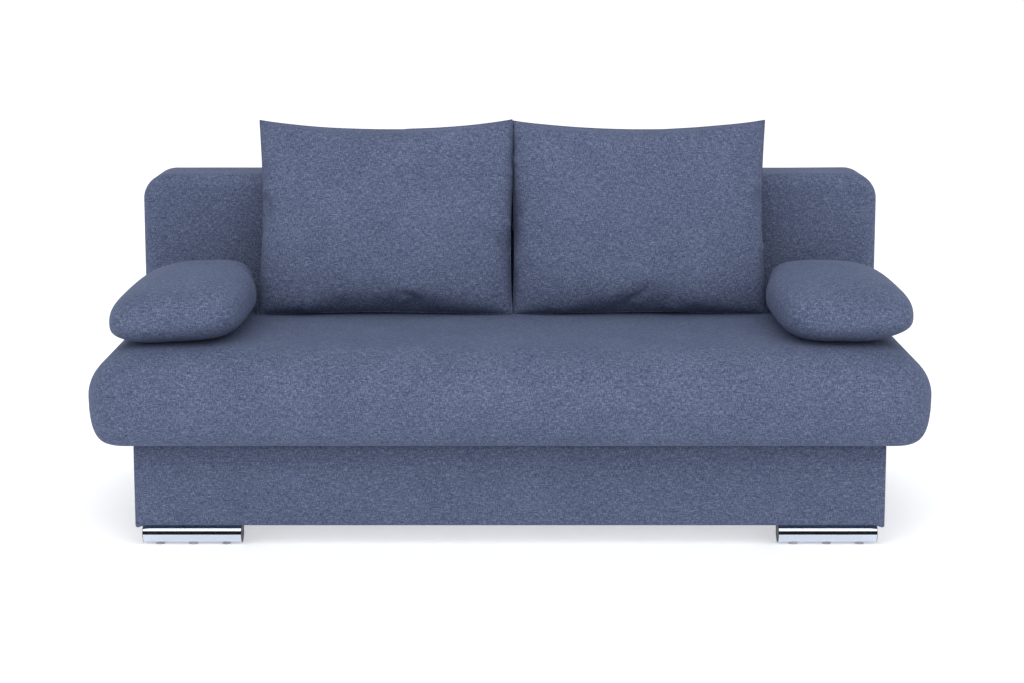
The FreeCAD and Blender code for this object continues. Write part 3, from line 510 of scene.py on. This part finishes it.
box_cover = mesh_object("box_cover_cloth", points, faces)
box_cover.data.materials.append(cloth)
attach(box_cover, "base")
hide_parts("box_cover")

# ---------------------------------------------------------------------------------------
# Feet: chrome-plated steel tubes with black plastic end caps and glides, bolted up
# through fitted packers, and two tapered plastic feet at the rear.
# ---------------------------------------------------------------------------------------


def chrome():
    """Chrome plate with the faint smears of wiping."""
    material, shader = plain_material("chrome_plate", (0.62, 0.67, 0.76), 0.05, 1.0)
    tree = material.node_tree
    point = object_point(tree)
    smears = noise_value(tree, stretched(tree, point, (1.0, 6.0, 6.0)), 14.0, 3.0, 0.6)
    gloss = tree.nodes.new("ShaderNodeMapRange")
    tree.links.new(smears, gloss.inputs["Value"])
    gloss.inputs["To Min"].default_value, gloss.inputs["To Max"].default_value = 0.03, 0.11
    tree.links.new(gloss.outputs[0], shader.inputs["Roughness"])
    bump(tree, shader, noise_value(tree, point, 700.0, 1.0), 0.02, 0.0002)
    return material


def scaled(colour, factor):
    """A colour made darker or lighter, up to white."""
    return tuple(min(1.0, factor * c) for c in colour)


def moulded_plastic(name, colour, roughness, grain=1400.0):
    """Moulded plastic with a fine spark-eroded grain."""
    material, shader = plain_material(name, colour, roughness)
    tree = material.node_tree
    point = object_point(tree)
    tree.links.new(ramp(tree, noise_value(tree, point, 60.0, 3.0), (0.3, scaled(colour, 0.8)),
                        (0.7, scaled(colour, 1.25))), shader.inputs["Base Color"])
    bump(tree, shader, noise_value(tree, point, grain, 1.0), 0.25, 0.0003)
    return material


def worked_steel(name, colour, roughness, along):
    """Rolled and plated steel with faint lines along one axis."""
    material, shader = plain_material(name, colour, roughness, 1.0)
    tree = material.node_tree
    lines = noise_value(tree, stretched(tree, object_point(tree), along), 60.0, 3.0, 0.6)
    tree.links.new(ramp(tree, lines, (0.3, scaled(colour, 0.78)), (0.7, colour)),
                   shader.inputs["Base Color"])
    bump(tree, shader, lines, 0.12, 0.0004)
    return material


black_plastic = moulded_plastic("black_plastic", (0.010, 0.010, 0.012), 0.48)
zinc_steel = worked_steel("zinc_plated_steel", (0.60, 0.60, 0.58), 0.34, (1, 1, 14))
finish_nodes(chrome(), "front_foot_tubes")
finish_nodes(black_plastic, "front_foot_caps", "front_foot_packers", "rear_feet")
finish_nodes(moulded_plastic("grey_plastic", (0.30, 0.29, 0.31), 0.42), "foot_glides")
finish_nodes(zinc_steel, "foot_bolts", "foot_nuts")

# ---------------------------------------------------------------------------------------
# Lift frame: black powder-coated channels and cross tubes, hinged to the box's rear edge
# on plated steel leaves, with rubber pads and stops and nylon glides.
# ---------------------------------------------------------------------------------------


def powder_coat():
    """Black powder coat with its fine orange peel."""
    material, shader = plain_material("black_powder_coat", (0.030, 0.030, 0.033), 0.48)
    tree = material.node_tree
    point = object_point(tree)
    tree.links.new(ramp(tree, noise_value(tree, point, 25.0, 3.0), (0.3, (0.024, 0.024, 0.027)),
                        (0.7, (0.042, 0.042, 0.046))), shader.inputs["Base Color"])
    bump(tree, shader, noise_value(tree, point, 900.0, 2.0), 0.35, 0.0004)
    return material


nylon = moulded_plastic("natural_nylon", (0.80, 0.78, 0.72), 0.35, 900.0)
rubber = moulded_plastic("soft_rubber", (0.028, 0.028, 0.028), 0.75, 700.0)
finish_nodes(powder_coat(), "slide_channel_left", "slide_channel_right", "lift_cross_tubes")
finish_nodes(zinc_steel, "lift_hinge_fixed_leaves", "lift_hinge_moving_leaves", "lift_hinge_pins")
finish_nodes(rubber, "lift_rest_pads", "slide_stops")
finish_nodes(nylon, "channel_glides")

# ---------------------------------------------------------------------------------------
# Seat carriage: a softwood frame on steel runners, with zigzag springs clipped across it,
# a felt, a foam block, and black lining cloth stapled underneath.
# ---------------------------------------------------------------------------------------


def foam_with_painted_pore_shade():
    """Foam with open cells on its cut faces, the hollow of each cell painted darker as painted shade."""
    material, shader = plain_material("foam_with_painted_pore_shade", (0.84, 0.78, 0.58), 0.9)
    tree = material.node_tree
    cells = add_node(tree, "ShaderNodeTexVoronoi", {"Scale": 520.0}, Vector=object_point(tree))
    # Painted shade: the colour darkens toward each cell's centre, where the bump sinks the pore.
    shade = ramp(tree, cells.outputs["Distance"], (0.0, (0.62, 0.55, 0.36)), (0.5, (0.86, 0.80, 0.60)))
    tree.links.new(shade, shader.inputs["Base Color"])
    bump(tree, shader, cells.outputs["Distance"], 0.5, 0.001)
    return material


def matted_fibre(name, colour, scale):
    """Felt, lining or wadding: fibres pressed together."""
    material, shader = plain_material(name, colour, 0.95)
    tree = material.node_tree
    fibres = noise_value(tree, object_point(tree), scale, 4.0, 0.7)
    tree.links.new(ramp(tree, fibres, (0.3, scaled(colour, 0.65)), (0.7, scaled(colour, 1.35))),
                   shader.inputs["Base Color"])
    bump(tree, shader, fibres, 0.5, 0.0008)
    return material


lining = matted_fibre("black_lining", (0.030, 0.030, 0.034), 420.0)
finish_nodes(zinc_steel, "seat_runners", "runner_spacers", "back_pivot_brackets", "back_pivot_pins",
             "spring_clips")
finish_nodes(nylon, "runner_glides")
finish_nodes(wood_along_x, "seat_front_rail", "seat_rear_rail")
finish_nodes(wood_along_y, "seat_end_rails", "seat_runner_rails", "seat_cross_rails")
finish_nodes(worked_steel("oiled_spring_wire", (0.30, 0.29, 0.28), 0.38, (10, 1, 1)), "seat_springs")
finish_nodes(matted_fibre("grey_felt", (0.30, 0.30, 0.32), 300.0), "seat_felt")
foam = foam_with_painted_pore_shade()
finish_nodes(foam, "seat_foam")
finish_nodes(lining, "seat_dust_cloth")

# ---------------------------------------------------------------------------------------
# Seat cover: one wide piece of cloth over wadding, drawn round the nose and the ends of
# the foam, turned under the frame and stapled. It is taut, with a slight crown.
# ---------------------------------------------------------------------------------------
seat_lo, seat_hi = (np.array(v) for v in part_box("seat_cover"))
rail_lo, rail_hi = (np.array(v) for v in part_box("seat_front_rail"))
rear_rail_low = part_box("seat_rear_rail")[0][2]
SEAT_NOSE_UNDER, SEAT_NOSE_OVER, SEAT_WAIST_SHARE = 0.062, 0.135, 0.48
SEAT_PLAN_CORNER, SEAT_FRAME_CORNER, SEAT_REAR_CORNER, SEAT_REAR_EDGE = 0.150, 0.045, 0.018, 0.024
SEAT_HEM_GAP, SEAT_HEM_INNER, SEAT_HEM_OUTER = 0.0012, 0.014, 0.002
SEAT_UNDER_STEPS, SEAT_OVER_STEPS, SEAT_HEM_RINGS = 14, 20, 3
SEAT_CROWN, CROWN_FROM, SEAT_WAVE = 0.004, 0.06, 0.0016
seat_waist = seat_lo[2] + SEAT_WAIST_SHARE * (seat_hi[2] - seat_lo[2])


def seat_station(height, inset, rear_inset=0.0):
    """The seat's outline at a height: its front corners tighten from the waist down."""
    below = np.clip((seat_waist - height) / (seat_waist - seat_lo[2]), 0.0, 1.0)
    front_corner = max(SEAT_PLAN_CORNER - inset, 0.012)
    front_corner += below ** 2 * (SEAT_FRAME_CORNER - front_corner)
    rear_corner = max(SEAT_REAR_CORNER - rear_inset, 0.006)
    return (height, seat_hi[0] - inset, seat_lo[1] + inset, seat_hi[1] - rear_inset,
            [front_corner, front_corner, rear_corner, rear_corner])


frame_inset = seat_hi[0] - rail_hi[0]
seat_rings = [seat_station(rail_lo[2] - SEAT_HEM_GAP, frame_inset + SEAT_HEM_INNER),
              seat_station(rail_lo[2] - SEAT_HEM_GAP, frame_inset + SEAT_HEM_OUTER),
              seat_station(seat_lo[2] + 0.0005, SEAT_NOSE_UNDER + 0.010)]
for step in range(SEAT_UNDER_STEPS):
    angle = math.pi / 2 * step / SEAT_UNDER_STEPS
    seat_rings.append(seat_station(seat_waist - (seat_waist - seat_lo[2]) * math.cos(angle),
                                   SEAT_NOSE_UNDER * (1 - math.sin(angle))))
for step in range(SEAT_OVER_STEPS + 1):
    angle = math.pi / 2 * step / SEAT_OVER_STEPS
    height = seat_waist + (seat_hi[2] - seat_waist) * math.sin(angle)
    over_rear = max(0.0, height - (seat_hi[2] - SEAT_REAR_EDGE)) / SEAT_REAR_EDGE
    seat_rings.append(seat_station(height, SEAT_NOSE_OVER * (1 - math.cos(angle)),
                                   SEAT_REAR_EDGE * (1 - math.sqrt(max(0.0, 1 - over_rear ** 2)))))
points, faces, level = wrapped_form(seat_rings, (170, 58, 9))
behind = points[:, 1] > seat_hi[1] - 0.001
open_rear = behind & (points[:, 2] < rear_rail_low) & (np.abs(points[:, 0]) < rail_hi[0] + 0.004)
keep = [face for face in faces if not all(open_rear[list(face)])]


def seat_crown(points, height):
    """How far the taut cloth rises above the foam, where the foam has this height."""
    across = points[:, 0] / seat_hi[0]
    deep = (points[:, 1] - seat_lo[1]) / (seat_hi[1] - seat_lo[1])
    level_points = np.column_stack([points[:, :2], np.full(len(points), seat_hi[2])])
    swell = SEAT_CROWN * np.clip(1 - across ** 4, 0, 1) * np.sin(math.pi * np.clip(deep, 0, 1))
    on_top = smooth_step(seat_waist + CROWN_FROM, seat_hi[2], height)
    return on_top * (swell + SEAT_WAVE * soft_noise(level_points, 0.30, 2))


def seat_surface(points):
    """Height of the seat's cloth under points seen from above."""
    from_end = seat_hi[0] - np.abs(points[:, 0])
    from_front = points[:, 1] - seat_lo[1]
    past_end, past_front = SEAT_PLAN_CORNER - from_end, SEAT_PLAN_CORNER - from_front
    corner = np.hypot(np.maximum(past_end, 0), np.maximum(past_front, 0))
    in_corner = (past_end > 0) & (past_front > 0)
    inset = np.where(in_corner, SEAT_PLAN_CORNER - corner, np.minimum(from_end, from_front))
    reach = np.clip(1 - np.clip(inset, 0, None) / SEAT_NOSE_OVER, 0, 1)
    height = seat_waist + (seat_hi[2] - seat_waist) * np.sqrt(1 - reach ** 2)
    return height + seat_crown(points, height)


points[:, 2] += seat_crown(points, points[:, 2])
on_nose = (points[:, 1] < seat_lo[1] + 0.10) & (level > SEAT_HEM_RINGS)
points[on_nose, 1] += SEAT_WAVE * soft_noise(points[on_nose], 0.24, 3)
seat_cover = mesh_object("seat_cover_cloth", points, keep)
seat_cover.data.materials.append(cloth)
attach(seat_cover, "seat_carriage")
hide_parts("seat_cover")

# ---------------------------------------------------------------------------------------
# Back: a softwood frame with elastic webbing behind a foam block, lined at the rear, and
# turning on plated steel pins in nylon bushes.
# ---------------------------------------------------------------------------------------
finish_nodes(wood_along_z, "back_stiles", "back_end_posts", "back_centre_post")
finish_nodes(wood_along_x, "back_bottom_rail", "back_top_rail", "back_end_ties")
finish_nodes(zinc_steel, "back_side_plates")
finish_nodes(nylon, "back_pivot_bushes")
finish_nodes(lining, "back_rear_cloth", "back_webbing")
finish_nodes(foam, "back_foam")

# ---------------------------------------------------------------------------------------
# Back cover: cloth over wadding, sewn as a boxed case with round top corners, pulled
# over the foam and stapled to the rear of the frame.
# ---------------------------------------------------------------------------------------
back_lo, back_hi = (np.array(v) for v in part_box("back_cover"))
liner_hi = np.array(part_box("back_rear_cloth")[1])
BACK_TOP_CORNER, BACK_LOW_CORNER = 0.066, 0.014
BACK_FRONT_EDGE, BACK_REAR_EDGE, BACK_LOW_EDGE = 0.034, 0.016, 0.050
BACK_HEM_WIDE, BACK_HEM_LOW = 0.012, 0.004
BACK_REAR_STEPS, BACK_SIDE_STEPS, BACK_FRONT_STEPS = 6, 10, 14
BACK_PROUD, BACK_WAVE, BACK_TOP_WAVE = 0.0015, 0.0016, 0.0012


def back_station(y, inset, low_inset):
    """The back's outline at a depth. Depths run forward, so that its patch faces front."""
    top_corner = max(BACK_TOP_CORNER - inset, 0.010)
    low_corner = max(BACK_LOW_CORNER - inset, 0.005)
    return (-y, back_hi[0] - inset, back_lo[2] + low_inset, back_hi[2] - inset,
            [low_corner, low_corner, top_corner, top_corner])


hem = back_hi[0] - liner_hi[0]
back_rings = [back_station(liner_hi[1] + 0.0008, hem + BACK_HEM_WIDE, BACK_HEM_LOW),
              back_station(liner_hi[1] + 0.0012, hem, BACK_HEM_LOW),
              back_station(back_hi[1] - 0.0006, 0.6 * hem, BACK_HEM_LOW)]
for step in range(BACK_REAR_STEPS):
    angle = math.pi / 2 * step / BACK_REAR_STEPS
    back_rings.append(back_station(back_hi[1] - BACK_REAR_EDGE * (1 - math.cos(angle)),
                                   BACK_REAR_EDGE * (1 - math.sin(angle)), 0.0))
side_start, side_end = back_hi[1] - BACK_REAR_EDGE, back_lo[1] + BACK_LOW_EDGE
back_rings += [back_station(side_start + (side_end - side_start) * step / BACK_SIDE_STEPS, 0.0, 0.0)
               for step in range(BACK_SIDE_STEPS + 1)]
for step in range(1, BACK_FRONT_STEPS + 1):
    angle = math.pi / 2 * step / BACK_FRONT_STEPS
    y = side_end - BACK_LOW_EDGE * math.sin(angle)
    near = max(0.0, back_lo[1] + BACK_FRONT_EDGE - y) / BACK_FRONT_EDGE
    back_rings.append(back_station(y, BACK_FRONT_EDGE * (1 - math.sqrt(max(0.0, 1 - near ** 2))),
                                   BACK_LOW_EDGE * (1 - math.cos(angle))))
points, faces, _ = wrapped_form(back_rings, (150, 44, 8))
points = np.column_stack([points[:, 0], -points[:, 2], points[:, 1]])
strap_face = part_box("back_webbing")[0][1]
open_low = ((points[:, 2] < back_lo[2] + 0.012) & (points[:, 1] > strap_face)
            & (np.abs(points[:, 0]) < liner_hi[0]))
keep = [face for face in faces if not all(open_low[list(face)])]
facing_front = 1 - smooth_step(back_lo[1], back_lo[1] + 0.02, points[:, 1])
points[:, 1] -= facing_front * (BACK_PROUD + BACK_WAVE * soft_noise(points, 0.22, 4))
upper = smooth_step(back_hi[2] - 0.10, back_hi[2], points[:, 2])
points[:, 2] += upper * BACK_TOP_WAVE * soft_noise(points, 0.2, 5)
back_cover = mesh_object("back_cover_cloth", points, keep)
back_cover.data.materials.append(cloth)
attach(back_cover, "backrest")
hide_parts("back_cover")

# ---------------------------------------------------------------------------------------
# Loose back cushions: two cloth panels sewn face to face round a fibre filling, so that
# the edges are knife-thin and the corners stand out in small ears. They lean on the back.
# ---------------------------------------------------------------------------------------
BACK_CUSHION_TOP, BACK_CUSHION_FOOT, BACK_CUSHION_TALL, BACK_CUSHION_THICK = 0.645, 0.638, 0.504, 0.176
BACK_CUSHION_LEAN, BACK_CUSHION_GAP, BACK_CUSHION_TAPER = 20.0, 0.0003, 0.16
BACK_CLEARANCE, BACK_PRESS, SEAT_CLEARANCE = 0.0045, 0.006, 0.0005
CUSHION_COLUMNS, CUSHION_ROWS, SEAM_ALLOWANCE, FLAT_PUFF = 76, 60, 0.014, 0.045
INNER_BOW, INNER_BOW_HEIGHT, OUTER_BOW, TOP_SAG, FOOT_SAG = 0.005, 0.68, 0.012, 0.025, 0.008
CUSHION_SHIFT, SEAM_RADIUS, SEAM_FALL, SEAM_STAGGER, STAGGER_WIDE = 0.006, 0.0014, 0.40, 0.004, 0.12
FILL_PRESSURE, FILL_FRAMES, CLOTH_STIFFNESS, CLOTH_BENDING, CREASE_EASE = 1.1, 24, 20.0, 0.5, 0.6


def sewn_pillow(wide, tall, puff, columns, rows):
    """Two panels joined round their edge. Returns points, faces, the numbers of the seam's
    points in order, and each panel's grid of point numbers."""
    index, points, faces = {}, [], []
    for side in (-1, 1):
        for i in range(columns + 1):
            for j in range(rows + 1):
                on_seam = i in (0, columns) or j in (0, rows)
                if on_seam and side == 1:
                    index[side, i, j] = index[-1, i, j]
                    continue
                u, v = 2 * i / columns - 1, 2 * j / rows - 1
                rise = puff * ((1 - u ** 4) * (1 - v ** 4)) ** 0.6
                index[side, i, j] = len(points)
                points.append((u * wide / 2, side * rise, v * tall / 2))
        for i in range(columns):
            for j in range(rows):
                quad = [index[side, i, j], index[side, i + 1, j], index[side, i + 1, j + 1],
                        index[side, i, j + 1]]
                faces.append(quad if side < 0 else quad[::-1])
    seam = ([index[-1, i, 0] for i in range(columns)] + [index[-1, columns, j] for j in range(rows)]
            + [index[-1, i, rows] for i in range(columns, 0, -1)]
            + [index[-1, 0, j] for j in range(rows, 0, -1)])
    grid = {side: np.array([[index[side, i, j] for j in range(rows + 1)] for i in range(columns + 1)])
            for side in (-1, 1)}
    return np.array(points), faces, seam, grid


def blow_up(piece, pressure, frames):
    """Fill a closed cloth form by pressure and keep the shape it takes."""
    cloth_modifier = piece.modifiers.new("Cloth", "CLOTH")
    settings = cloth_modifier.settings
    settings.quality = 6
    settings.mass = 0.25
    settings.tension_stiffness = settings.compression_stiffness = CLOTH_STIFFNESS
    settings.shear_stiffness = CLOTH_STIFFNESS * 0.4
    settings.bending_stiffness = CLOTH_BENDING
    settings.air_damping = 2.0
    settings.use_pressure = True
    settings.uniform_pressure_force = pressure
    settings.effector_weights.gravity = 0.0
    cloth_modifier.point_cache.frame_start = 1
    cloth_modifier.point_cache.frame_end = frames
    for number in range(1, frames + 1):
        scene.frame_set(number)
    shape = bpy.data.meshes.new_from_object(piece.evaluated_get(bpy.context.evaluated_depsgraph_get()))
    piece.modifiers.clear()
    old = piece.data
    piece.data = shape
    bpy.data.meshes.remove(old)
    scene.frame_set(1)


def mesh_points(piece):
    """A piece's points as an array."""
    flat = np.empty(len(piece.data.vertices) * 3)
    piece.data.vertices.foreach_get("co", flat)
    return flat.reshape(-1, 3)


def set_points(piece, points):
    """Move a piece's points to these places."""
    piece.data.vertices.foreach_set("co", points.ravel())
    piece.data.update()


def subdivide(piece):
    """Apply one level of smooth subdivision."""
    modifier = piece.modifiers.new("Subdivision", "SUBSURF")
    modifier.levels = modifier.render_levels = 1
    shape = bpy.data.meshes.new_from_object(piece.evaluated_get(bpy.context.evaluated_depsgraph_get()))
    piece.modifiers.clear()
    piece.data = shape


def sharpen(piece, corners):
    """Keep the edges between these points sharp through subdivision."""
    chosen = set(corners)
    crease = piece.data.attributes.new("crease_edge", "FLOAT", "EDGE")
    for edge in piece.data.edges:
        if edge.vertices[0] in chosen and edge.vertices[1] in chosen:
            crease.data[edge.index].value = 1.0


def closed_tube(name, path, radius, sides=6):
    """A thin tube round a closed path."""
    path = np.array(path)
    run = np.roll(path, -1, axis=0) - np.roll(path, 1, axis=0)
    run /= np.linalg.norm(run, axis=1)[:, None]
    first = np.cross(run, (0.0, 1.0, 0.0))
    first /= np.linalg.norm(first, axis=1)[:, None]
    second = np.cross(run, first)
    count = len(path)
    verts, faces = [], []
    for index in range(count):
        for step in range(sides):
            angle = math.tau * step / sides
            verts.append(path[index] + radius * (math.cos(angle) * first[index]
                                                 + math.sin(angle) * second[index]))
            after, turn = (index + 1) % count, (step + 1) % sides
            faces.append((index * sides + step, after * sides + step, after * sides + turn,
                          index * sides + turn))
    return mesh_object(name, verts, faces)


def squared(points, grid, sign):
    """Bring the seam to its cut shape. The inner side stands at x = 0 and bows in its lower
    two thirds, the outer one bows all along, and the top and foot sag between the ears.
    The cloth between the seams keeps its own creases."""
    columns, rows = grid[-1].shape
    shaped = points.copy()
    for j in range(rows):
        first, last = points[grid[-1][0, j], 0], points[grid[-1][-1, j], 0]
        up = j / (rows - 1)
        inner = INNER_BOW * math.sin(math.pi * min(1.0, up / INNER_BOW_HEIGHT)) ** 0.7
        outer = (BACK_CUSHION_FOOT + up * (BACK_CUSHION_TOP - BACK_CUSHION_FOOT)
                 - OUTER_BOW * math.sin(math.pi * up))
        ends = (inner, outer) if sign > 0 else (-outer, -inner)
        for panel in grid.values():
            share = (points[panel[:, j], 0] - first) / (last - first)
            shaped[panel[:, j], 0] = ends[0] + share * (ends[1] - ends[0])
    for i in range(columns):
        first, last = points[grid[-1][i, 0], 2], points[grid[-1][i, -1], 2]
        along = math.sin(math.pi * i / (columns - 1)) ** 0.8
        low, high = FOOT_SAG * along - BACK_CUSHION_TALL / 2, BACK_CUSHION_TALL / 2 - TOP_SAG * along
        for panel in grid.values():
            share = (points[panel[i], 2] - first) / (last - first)
            falling = high - SEAM_FALL * np.abs(points[panel[i], 1])
            shaped[panel[i], 2] = np.minimum(low + share * (high - low), falling)
    return shaped


back_limit = back_lo[1] - BACK_CLEARANCE
lean = np.array(Matrix.Rotation(math.radians(-BACK_CUSHION_LEAN), 3, "X"))
for side, sign, sink in (("left", -1, 0.016), ("right", 1, 0.009)):
    name = f"back_cushion_{side}"
    puff = FLAT_PUFF
    points, faces, seam, grid = sewn_pillow(BACK_CUSHION_TOP + SEAM_ALLOWANCE, BACK_CUSHION_TALL, puff,
                                            CUSHION_COLUMNS, CUSHION_ROWS)
    pillow = mesh_object(f"{name}_cloth", points, faces)
    sharpen(pillow, seam)
    flat = points.copy()
    flat[:, 1] += 0.003 * soft_noise(points + sign, 0.16, 8)
    set_points(pillow, flat)
    blow_up(pillow, FILL_PRESSURE, FILL_FRAMES)
    plump = points[:, 1] * 0.5 * BACK_CUSHION_THICK / puff
    points = mesh_points(pillow)
    points[:, 1] += CREASE_EASE * (plump - points[:, 1])
    points = squared(points, grid, sign)
    height = 2 * points[:, 2] / BACK_CUSHION_TALL
    points[:, 1] *= BACK_CUSHION_THICK / np.ptp(points[:, 1]) * (1 - BACK_CUSHION_TAPER * height)
    points[:, 1] += 0.004 * soft_noise(points + sign, 0.20, 6)
    points[:, 1] += sign * SEAM_STAGGER * (1 - smooth_step(0.0, STAGGER_WIDE, np.abs(points[:, 0])))
    points = points @ lean.T
    points[:, 0] += sign * BACK_CUSHION_GAP + CUSHION_SHIFT
    points[:, 1] += back_limit + BACK_PRESS - points[:, 1].max()
    points[:, 2] += seat_hi[2] - sink - points[:, 2].min()
    points[:, 1] = np.minimum(points[:, 1], back_limit)
    points[:, 2] = np.maximum(points[:, 2], seat_surface(points) + SEAT_CLEARANCE)
    set_points(pillow, points)
    subdivide(pillow)
    seam_tube = closed_tube(f"{name}_seam", points[seam], SEAM_RADIUS)
    for piece in (pillow, seam_tube):
        piece.data.materials.append(cloth)
        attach(piece, name)
    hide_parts(f"{name}_case", f"{name}_filling")

# ---------------------------------------------------------------------------------------
# Loose arm cushions: plump round-edged pillows that lie front to back on the seat's ends
# and droop a little over its rounded shoulders.
# ---------------------------------------------------------------------------------------
ARM_WIDE, ARM_LONG, ARM_THICK = 0.324, 0.560, 0.160
ARM_Y, ARM_SINK, ARM_FLATTEN = -0.085, 0.012, 0.35
ARM_CELLS, ARM_PLAN_POWER, ARM_SECTION_POWER = 30, 4.0, 2.5
ARM_PRESS, PRESS_Y, PRESS_DEPTH, PRESS_X, PRESS_WIDTH = 0.020, -0.04, 0.07, 0.60, 0.10
ARM_SIDES = (("left", -1, 0.782, 3.0, 0.020), ("right", 1, 0.788, 1.0, 0.007))


def plump_block(wide, long, thick, cells, plan_power, section_power):
    """A block with fully rounded edges, from a box grid drawn onto a superellipsoid."""
    mesh = bmesh.new()
    bmesh.ops.create_cube(mesh, size=2.0)
    bmesh.ops.subdivide_edges(mesh, edges=mesh.edges, cuts=cells, use_grid_fill=True)
    for vertex in mesh.verts:
        x, y, z = (math.tan(c * math.pi / 4) for c in vertex.co)
        plan = (abs(x) ** plan_power + abs(y) ** plan_power) ** (1 / plan_power)
        reach = (plan ** section_power + abs(z) ** section_power) ** (1 / section_power)
        vertex.co = Vector((x * wide, y * long, z * thick)) / (2 * reach)
    shape = bpy.data.meshes.new("plump_block")
    mesh.to_mesh(shape)
    mesh.free()
    return shape


for side, sign, arm_x, lean_out, droop in ARM_SIDES:
    name = f"arm_cushion_{side}"
    shape = plump_block(ARM_WIDE, ARM_LONG, ARM_THICK, ARM_CELLS, ARM_PLAN_POWER, ARM_SECTION_POWER)
    arm = bpy.data.objects.new(f"{name}_cloth", shape)
    scene.collection.objects.link(arm)
    points = mesh_points(arm)
    points[:, 2] += 0.002 * soft_noise(points + sign, 0.15, 7)
    outer = smooth_step(0.05 * ARM_WIDE, 0.5 * ARM_WIDE, sign * points[:, 0])
    points[:, 2] -= ARM_FLATTEN * outer * np.minimum(points[:, 2], 0.0)
    tilt = np.array(Matrix.Rotation(math.radians(sign * lean_out), 3, "Y"))
    points = points @ tilt.T
    points[:, 2] -= droop * smooth_step(0.0, 0.55 * ARM_WIDE, sign * points[:, 0])
    points += np.array([sign * arm_x, ARM_Y, seat_hi[2] + 0.5 * ARM_THICK - ARM_SINK])
    pressed = smooth_step(PRESS_Y, PRESS_Y + PRESS_DEPTH, points[:, 1])
    pressed *= 1 - smooth_step(PRESS_X, PRESS_X + PRESS_WIDTH, sign * points[:, 0])
    points[:, 0] += sign * ARM_PRESS * pressed
    points[:, 2] = np.maximum(points[:, 2], seat_surface(points) + SEAT_CLEARANCE)
    set_points(arm, points)
    subdivide(arm)
    arm.data.polygons.foreach_set("use_smooth", [True] * len(arm.data.polygons))
    arm.data.materials.append(cloth)
    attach(arm, name)
    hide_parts(f"{name}_case", f"{name}_filling")
